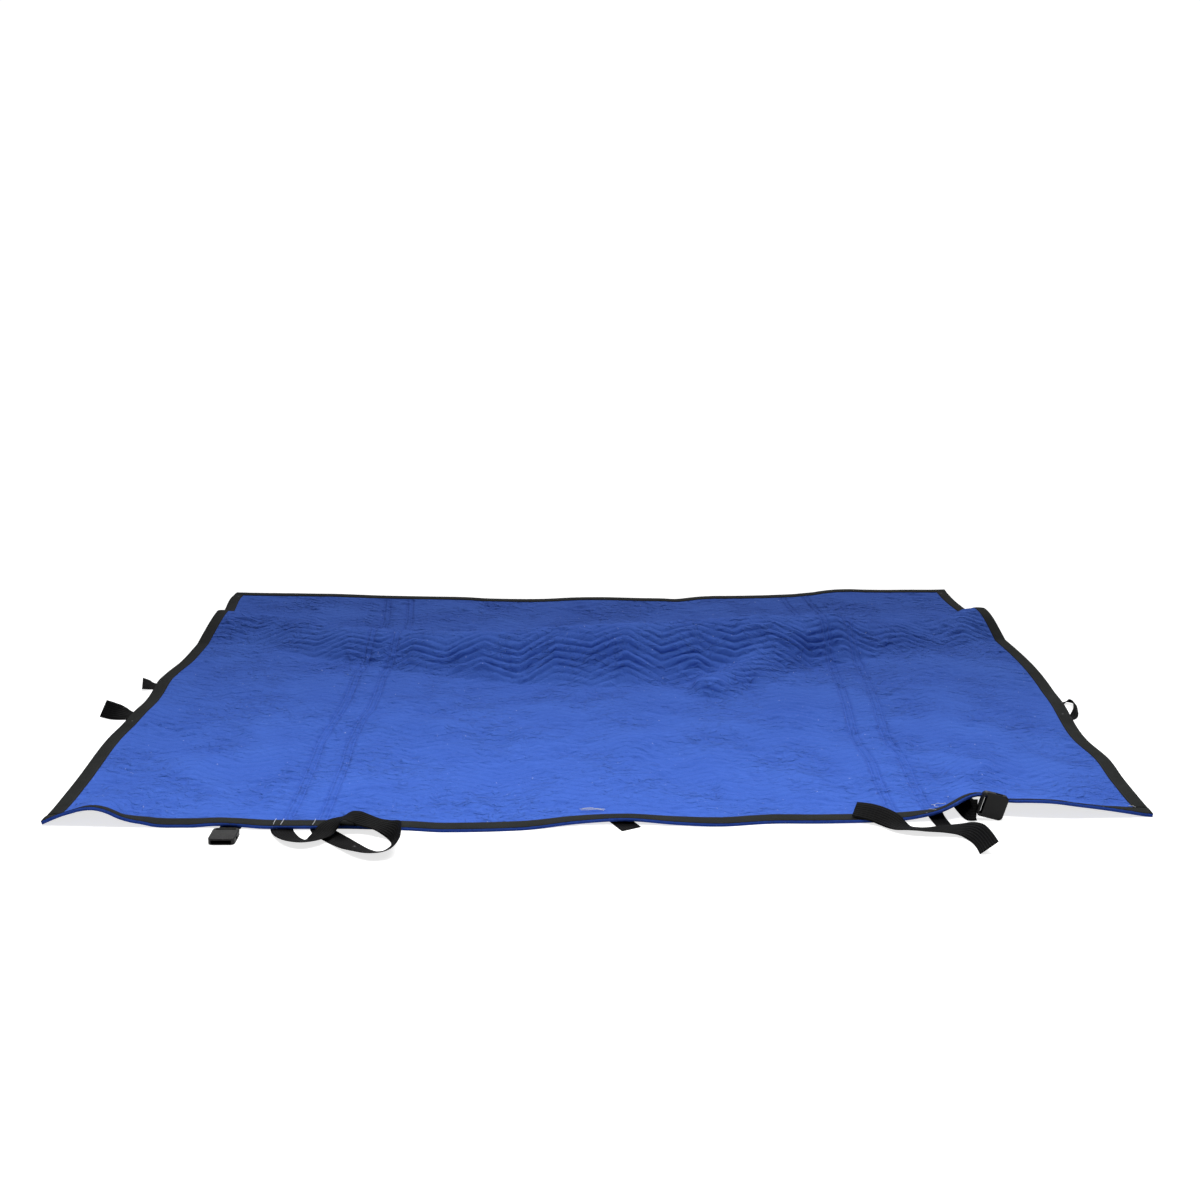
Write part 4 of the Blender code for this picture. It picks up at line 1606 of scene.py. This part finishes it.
@dataclass
class Webbing:
    """A strap of flat woven webbing along a table of stations."""

    name: str
    node: str
    stations: tuple[tuple[float, float, float, float], ...]
    shift: Array
    width: float = WEBBING_WIDTH
    thickness: float = 0.0018
    edge_power: int = 6
    edge_share: float = 0.12
    sections_to_a_station: int = 8
    strands: int = 10

    def build(self, palette: Palette) -> bpy.types.Object:
        """Build and dress the strap.

        Args:
            palette: The blanket's materials.

        Returns:
            The strap.
        """
        points, tilts = self._path()
        share = np.linspace(-1.0, 1.0, self.strands + 1)
        rounded = np.clip(1.0 - np.abs(share) ** self.edge_power, self.edge_share, 1.0)
        half = self.thickness / 2 * np.sqrt(rounded)
        steps = np.linalg.norm(np.diff(points, axis=0), axis=1)
        travelled = np.concatenate([[0.0], np.cumsum(steps)])
        top = np.empty((len(points), len(share), 3))
        bottom = np.empty_like(top)
        for index, point in enumerate(points):
            left, up = self._directions(points, tilts, index)
            reach = self.width / 2
            lowest = point[2] - abs(left[2]) * reach - abs(up[2]) * self.thickness / 2
            middle = point + np.array([0.0, 0.0, max(-lowest, 0.0)])
            side = middle + left[None, :] * (-share[:, None]) * reach
            top[index] = side + up[None, :] * half[:, None]
            bottom[index] = side - up[None, :] * half[:, None]
        strap = lattice_solid(self.name, top + self.shift, bottom + self.shift)
        strap.data.shade_smooth()
        paint_cloth(strap, "cloth", share[None, :] * self.width / 2, travelled[:, None])
        strap.data.materials.append(palette.webbing)
        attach(strap, BODY)
        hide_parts(self.node)
        return strap

    def _path(self) -> tuple[Array, Array]:
        """Points and tilts along the strap.

        Returns:
            Points by section, and the tilt of each in degrees.
        """
        table = Table.numbered("x y z tilt", self.stations)
        count = (len(self.stations) - 1) * self.sections_to_a_station
        places = np.arange(count + 1) / self.sections_to_a_station
        points = np.stack([table.read(places, axis) for axis in "xyz"], axis=-1)
        return points, table.read(places, "tilt")

    @staticmethod
    def _directions(points: Array, tilts: Array, index: int) -> tuple[Array, Array]:
        """Directions across and out of the strap at a section.

        Args:
            points: Points along the strap.
            tilts: Tilt of each section in degrees.
            index: The section.

        Returns:
            The direction to the strap's left and the direction up from it.
        """
        ahead = Vector(points[min(index + 1, len(points) - 1)])
        behind = Vector(points[max(index - 1, 0)])
        heading = (ahead - behind).normalized()
        level = Vector((-heading.y, heading.x, 0.0)).normalized()
        left = Matrix.Rotation(math.radians(tilts[index]), 3, heading) @ level
        return np.array(left), np.array(heading.cross(left))


# Stations along each strap: place of its middle line and tilt in degrees.
STRAPS: dict[str, tuple[tuple[float, float, float, float], ...]] = {
    "loop_strap": (
        (-0.701, -0.010, 0.0011, 0),
        (-0.694, -0.037, 0.0011, -2),
        (-0.681, -0.064, 0.0030, -7),
        (-0.662, -0.090, 0.0060, -14),
        (-0.638, -0.103, 0.0080, -18),
        (-0.616, -0.093, 0.0080, -15),
        (-0.602, -0.069, 0.0090, -3),
        (-0.5905, -0.049, 0.0165, 5),
        (-0.576, -0.036, 0.0240, -6),
        (-0.560, -0.030, 0.0295, -14),
        (-0.545, -0.0275, 0.0310, 4),
        (-0.530, -0.0255, 0.0275, 16),
        (-0.512, -0.028, 0.0225, 9),
        (-0.490, -0.036, 0.0190, 4),
        (-0.468, -0.047, 0.0180, 12),
        (-0.448, -0.064, 0.0190, 36),
        (-0.4385, -0.088, 0.0215, 58),
        (-0.435, -0.114, 0.0215, 60),
        (-0.439, -0.139, 0.0170, 44),
        (-0.454, -0.157, 0.0110, 26),
        (-0.480, -0.160, 0.0085, 20),
        (-0.506, -0.145, 0.0065, 15),
        (-0.533, -0.118, 0.0035, 6),
        (-0.560, -0.088, 0.0015, 1),
        (-0.585, -0.061, 0.0011, 0),
        (-0.605, -0.037, 0.0011, 0),
        (-0.615, -0.011, 0.0011, 0),
    ),
    "strap_front_right": (
        (0.566, 0.034, 0.0226, 20),
        (0.602, 0.019, 0.0209, 28),
        (0.634, -0.001, 0.0153, 28),
        (0.656, -0.022, 0.0090, 6),
        (0.678, -0.034, 0.0070, -13),
        (0.712, -0.040, 0.0067, -13),
        (0.750, -0.040, 0.0075, -5),
        (0.782, -0.046, 0.0100, 8),
        (0.8015, -0.060, 0.0150, 30),
        (0.8125, -0.088, 0.0190, 48),
        (0.818, -0.120, 0.0190, 50),
        (0.8215, -0.152, 0.0150, 38),
    ),
    "webbing_front_right": (
        (0.747, 0.066, 0.0083, 9),
        (0.750, 0.030, 0.0045, 2),
        (0.757, -0.004, 0.0011, 0),
        (0.762, -0.034, 0.0011, 0),
    ),
    "webbing_buckle_right": (
        (0.823, 0.150, 0.0042, 7),
        (0.8235, 0.116, 0.0075, 14),
        (0.824, 0.086, 0.0110, 26),
        (0.8245, 0.059, 0.0150, 38),
        (0.8248, 0.039, 0.0186, 48),
        (0.8256, 0.0275, 0.0215, 59),
        (0.829, 0.023, 0.0250, 76),
        (0.8356, 0.0245, 0.0246, 84),
    ),
    "tab_front_centre": (
        (0.039, 0.031, 0.0011, 0),
        (0.052, 0.007, 0.0011, 0),
        (0.069, -0.025, 0.0011, 0),
    ),
    "webbing_front_left": (
        (-0.8115, 0.004, 0.0011, 0),
        (-0.8115, -0.021, 0.0012, 0),
        (-0.8115, -0.035, 0.0056, 0),
        (-0.8115, -0.0465, 0.0072, 0),
    ),
    "webbing_left_lower": (
        (-1.186, 0.688, 0.0023, 0),
        (-1.222, 0.688, 0.0011, 0),
        (-1.245, 0.683, 0.0060, -20),
        (-1.265, 0.680, 0.0130, -38),
        (-1.285, 0.682, 0.0190, -48),
        (-1.306, 0.688, 0.0225, -52),
    ),
    "webbing_left_upper": (
        (-1.186, 0.925, 0.0023, 0),
        (-1.230, 0.923, 0.0011, 0),
        (-1.249, 0.918, 0.0085, -14),
        (-1.267, 0.912, 0.0150, -24),
    ),
    "loop_right": (
        (1.205, 0.770, 0.0011, 0),
        (1.237, 0.782, 0.0011, 0),
        (1.261, 0.786, 0.0080, -40),
        (1.271, 0.768, 0.0095, -50),
        (1.265, 0.735, 0.0095, -50),
        (1.255, 0.700, 0.0080, -40),
        (1.236, 0.670, 0.0011, 0),
        (1.205, 0.655, 0.0011, 0),
    ),
}

# Widths of the straps that are narrower than the rest.
STRAP_WIDTHS: dict[str, float] = {"loop_right": 0.020, "webbing_front_right": 0.036}


# --------------------------------------------------------------------------------------
# Loose sewing thread
# --------------------------------------------------------------------------------------

# Plan places along each strand, and its height over the cloth there.
STRANDS: tuple[tuple[tuple[float, float, float], ...], ...] = (
    ((-0.046, 0.0660, 0.0102), (-0.028, 0.0630, 0.0112), (-0.008, 0.0640, 0.0106), (0.012, 0.0585, 0.0100)),
    ((-0.043, 0.0600, 0.0100), (-0.024, 0.0570, 0.0108), (-0.004, 0.0575, 0.0112), (0.009, 0.0520, 0.0100)),
    ((-0.040, 0.0690, 0.0100), (-0.020, 0.0680, 0.0114), (-0.012, 0.0610, 0.0118), (0.004, 0.0540, 0.0102)),
    ((-0.7150, 0.0370, 0.0094), (-0.7155, 0.0200, 0.0102), (-0.7145, 0.0030, 0.0097)),
    ((-0.6980, 0.0370, 0.0094), (-0.6975, 0.0180, 0.0102), (-0.6985, 0.0030, 0.0097)),
    ((-0.6280, 0.0360, 0.0094), (-0.6270, 0.0190, 0.0102), (-0.6285, 0.0030, 0.0097)),
    ((0.748, 0.0620, 0.0098), (0.755, 0.0520, 0.0112), (0.752, 0.0440, 0.0108), (0.760, 0.0360, 0.0098)),
    ((0.758, 0.0640, 0.0098), (0.764, 0.0600, 0.0112), (0.770, 0.0480, 0.0110), (0.780, 0.0400, 0.0098)),
    ((0.736, 0.0300, 0.0096), (0.742, 0.0180, 0.0104), (0.748, 0.0050, 0.0097)),
    ((1.190, 0.0380, 0.0098), (1.197, 0.0340, 0.0108), (1.203, 0.0290, 0.0098)),
)


@dataclass
class LooseThread:
    """White thread ends on the cover, and tacks across the front tape."""

    lie: ClothLie
    radius: float = 0.0006
    sides: int = 6
    steps: int = 7

    def build(self, palette: Palette) -> bpy.types.Object:
        """Build and dress the strands as one piece.

        Args:
            palette: The blanket's materials.

        Returns:
            The thread.
        """
        points: list[Array] = []
        faces: list[tuple[int, ...]] = []
        for strand in STRANDS:
            start = sum(len(ring) for ring in points)
            rings = self._rings(self._path(strand))
            points += rings
            faces += self._skin(start, len(rings))
        thread = mesh_object("sewing_thread", np.concatenate(points), faces)
        thread.data.shade_smooth()
        thread.data.materials.append(palette.thread)
        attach(thread, BODY)
        return thread

    def _path(self, strand: tuple[tuple[float, float, float], ...]) -> Array:
        """Points along a strand.

        Args:
            strand: Its plan places and heights over the cloth.

        Returns:
            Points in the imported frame.
        """
        table = Table.numbered("x y rise", strand)
        places = np.linspace(0.0, len(strand) - 1.0, self.steps * (len(strand) - 1) + 1)
        x, y, rise = (table.read(places, column) for column in ("x", "y", "rise"))
        front = FRONT_EDGE.read(x, "y")
        return self.lie.over(x, front + y, rise)

    def _rings(self, path: Array) -> list[Array]:
        """Rings of points round a strand.

        Args:
            path: Points along it.

        Returns:
            A ring for each point.
        """
        headings = np.gradient(path, axis=0)
        turns = 2 * math.pi * np.arange(self.sides) / self.sides
        rings = []
        for point, heading in zip(path, headings):
            ahead = Vector(heading).normalized()
            level = ahead.cross(Vector((0.0, 0.0, 1.0))).normalized()
            upright = level.cross(ahead)
            round_it = np.outer(np.cos(turns), level) + np.outer(np.sin(turns), upright)
            rings.append(point + self.radius * round_it)
        return rings

    def _skin(self, start: int, rings: int) -> list[tuple[int, ...]]:
        """Faces of a strand, closed at both ends.

        Args:
            start: Index of its first point.
            rings: Number of its rings.

        Returns:
            Corners of each face.
        """
        sides = self.sides
        faces = []
        for ring in range(rings - 1):
            low = start + ring * sides
            for side in range(sides):
                after = (side + 1) % sides
                faces.append((low + side, low + after, low + sides + after, low + sides + side))
        faces.append(tuple(start + side for side in reversed(range(sides))))
        faces.append(tuple(start + (rings - 1) * sides + side for side in range(sides)))
        return faces


# --------------------------------------------------------------------------------------
# Studio
# --------------------------------------------------------------------------------------


@dataclass
class Studio:
    """Pale floor, soft light and the camera."""

    shift: Array
    height: float = 1.418
    back: float = 3.155
    tilt: float = 15.96
    lens: float = 46.54
    sensor: float = 36.0
    floor_reach: float = 60.0
    floor_color: Color = (0.62, 0.62, 0.62)
    floor_glow: float = 0.74
    sun_strength: float = 2.02
    sun_softness: float = 28.0
    sun_place: tuple[float, ...] = (0.25, 1.45, 1.5)
    sky_strength: float = 0.17
    dim_sky_strength: float = 0.10
    bright_side: tuple[float, ...] = (0.0, 0.75, 0.66)
    backdrop_strength: float = 1.05
    front_power: float = 17.0
    front_size: tuple[float, float] = (3.4, 0.5)
    front_spread: float = 95.0
    front_place: tuple[float, ...] = (0.0, -0.85, 1.9)

    def build(self) -> None:
        """Set up the floor, the lights and the camera."""
        self._camera()
        self._floor()
        self._sun()
        self._front_light()
        self._sky()
        bpy.context.scene.view_settings.view_transform = "Standard"

    def _camera(self) -> None:
        """Place the camera at the photograph's angle."""
        data = bpy.data.cameras.new("camera")
        data.sensor_width = self.sensor
        data.sensor_height = self.sensor
        data.lens = self.lens
        data.clip_end = 200.0
        camera = bpy.data.objects.new("camera", data)
        bpy.context.scene.collection.objects.link(camera)
        camera.location = Vector((0.0, -self.back, self.height)) + Vector(self.shift)
        camera.rotation_euler = (math.radians(90.0 - self.tilt), 0.0, 0.0)
        bpy.context.scene.camera = camera

    def _floor(self) -> None:
        """Lay the pale floor, which looks white right out to the backdrop."""
        reach = self.floor_reach
        corners = reach * np.array([[-1, -1, 0], [1, -1, 0], [1, 1, 0], [-1, 1, 0]])
        floor = mesh_object("studio_floor", corners, [(0, 1, 2, 3)])
        surface = Surface.named("studio_floor_paint")
        surface.coat(tinted(self.floor_color), 0.95, specular=0.0)
        surface.shader.inputs["Emission Color"].default_value = WHITE
        seen = surface.wiring.node("ShaderNodeLightPath").outputs["Is Camera Ray"]
        glow = surface.wiring.math("MULTIPLY", seen, self.floor_glow)
        surface.wiring.feed(surface.shader.inputs["Emission Strength"], glow)
        floor.data.materials.append(surface.material)

    def _sun(self) -> None:
        """Hang a broad soft light behind and above the blanket."""
        data = bpy.data.lights.new("key", "SUN")
        data.energy = self.sun_strength
        data.angle = math.radians(self.sun_softness)
        self._hang(data, self.sun_place, (0.0, 0.0, 0.0))

    def _front_light(self) -> None:
        """Hang a long narrow light over the front of the blanket."""
        data = bpy.data.lights.new("front", "AREA")
        data.shape = "RECTANGLE"
        data.size, data.size_y = self.front_size
        data.spread = math.radians(self.front_spread)
        data.energy = self.front_power
        self._hang(data, self.front_place, (*self.front_place[:2], 0.0))

    @staticmethod
    def _hang(data: bpy.types.Light, place: tuple[float, ...], target: tuple[float, ...]) -> None:
        """Place a light and point it.

        Args:
            data: The light.
            place: Where it hangs.
            target: Where it points.
        """
        light = bpy.data.objects.new(data.name, data)
        bpy.context.scene.collection.objects.link(light)
        light.location = place
        aim = Vector(target) - Vector(place)
        light.rotation_euler = aim.to_track_quat("-Z", "Y").to_euler()

    def _sky(self) -> None:
        """Light the scene from all round, less from the front, before a white backdrop."""
        world = bpy.data.worlds.new("studio_world")
        world.use_nodes = True
        wiring = Wiring(world.node_tree)
        soft = world.node_tree.nodes["Background"]
        toward = wiring.node("ShaderNodeVectorMath", operation="DOT_PRODUCT")
        wiring.feed(toward.inputs[0], wiring.node("ShaderNodeTexCoord").outputs["Generated"])
        toward.inputs[1].default_value = self.bright_side
        strength = wiring.ramp(
            toward.outputs["Value"], -0.75, 0.6, self.dim_sky_strength, self.sky_strength
        )
        wiring.feed(soft.inputs["Strength"], strength)
        soft.inputs["Color"].default_value = WHITE
        white = wiring.node("ShaderNodeBackground")
        white.inputs["Strength"].default_value = self.backdrop_strength
        white.inputs["Color"].default_value = WHITE
        both = wiring.node("ShaderNodeMixShader")
        seen = wiring.node("ShaderNodeLightPath").outputs["Is Camera Ray"]
        wiring.feed(both.inputs[0], seen)
        wiring.feed(both.inputs[1], soft.outputs[0])
        wiring.feed(both.inputs[2], white.outputs[0])
        wiring.feed(world.node_tree.nodes["World Output"].inputs["Surface"], both.outputs[0])
        bpy.context.scene.world = world


# --------------------------------------------------------------------------------------
# The whole blanket
# --------------------------------------------------------------------------------------


@dataclass
class MovingBlanket:
    """The blanket with all its sewn pieces."""

    lie: ClothLie
    palette: Palette
    gap: float = 0.0004

    def build(self) -> None:
        """Build every piece in order."""
        panel = QuiltedPanel(self.lie).build(self.palette)
        LOG.info("panel: %d points", len(panel.data.vertices))
        tapes = [tape.build(self.palette) for tape in self._tapes()]
        LOG.info("tapes: %d", len(tapes))
        for node, stations in STRAPS.items():
            width = STRAP_WIDTHS.get(node, WEBBING_WIDTH)
            webbing = Webbing(f"{node}_woven", node, stations, self.lie.shift, width)
            strap = webbing.build(self.palette)
            LOG.info("%s: %d points", strap.name, len(strap.data.vertices))
        thread = LooseThread(self.lie).build(self.palette)
        LOG.info("thread: %d points", len(thread.data.vertices))
        for node in ("buckle_front_left", "buckle_front_right"):
            shell = bpy.data.objects[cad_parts[node].name]
            for slot in shell.material_slots:
                slot.material = self.palette.plastic
            LOG.info("%s: finish changed", node)

    def _tapes(self) -> list[BindingTape]:
        """The four lengths of tape.

        Returns:
            Front, back, left and right.
        """
        half = self.lie.width / 2
        inner = half - PAD.tape_width
        length = self.lie.length
        start = PAD.tape_width + self.gap
        end = length - PAD.tape_width - self.gap
        places = {
            Edge.FRONT: ((-half, half), (0.0, PAD.tape_width)),
            Edge.BACK: ((-half, half), (length - PAD.tape_width, length)),
            Edge.LEFT: ((-half, -inner), (start, end)),
            Edge.RIGHT: ((inner, half), (start, end)),
        }
        return [
            BindingTape(f"tape_{edge.value}", f"binding_{edge.value}", self.lie, across, lengths, edge)
            for edge, (across, lengths) in places.items()
        ]


def main() -> None:
    """Build the studio and the blanket, and note their sizes."""
    logging.basicConfig(level=logging.INFO, format="%(name)s: %(message)s")
    lie = ClothLie()
    Studio(lie.shift).build()
    LOG.info("studio: camera, floor and lights")
    MovingBlanket(lie, Palette.mixed()).build()


if __name__ == "__main__":
    main()
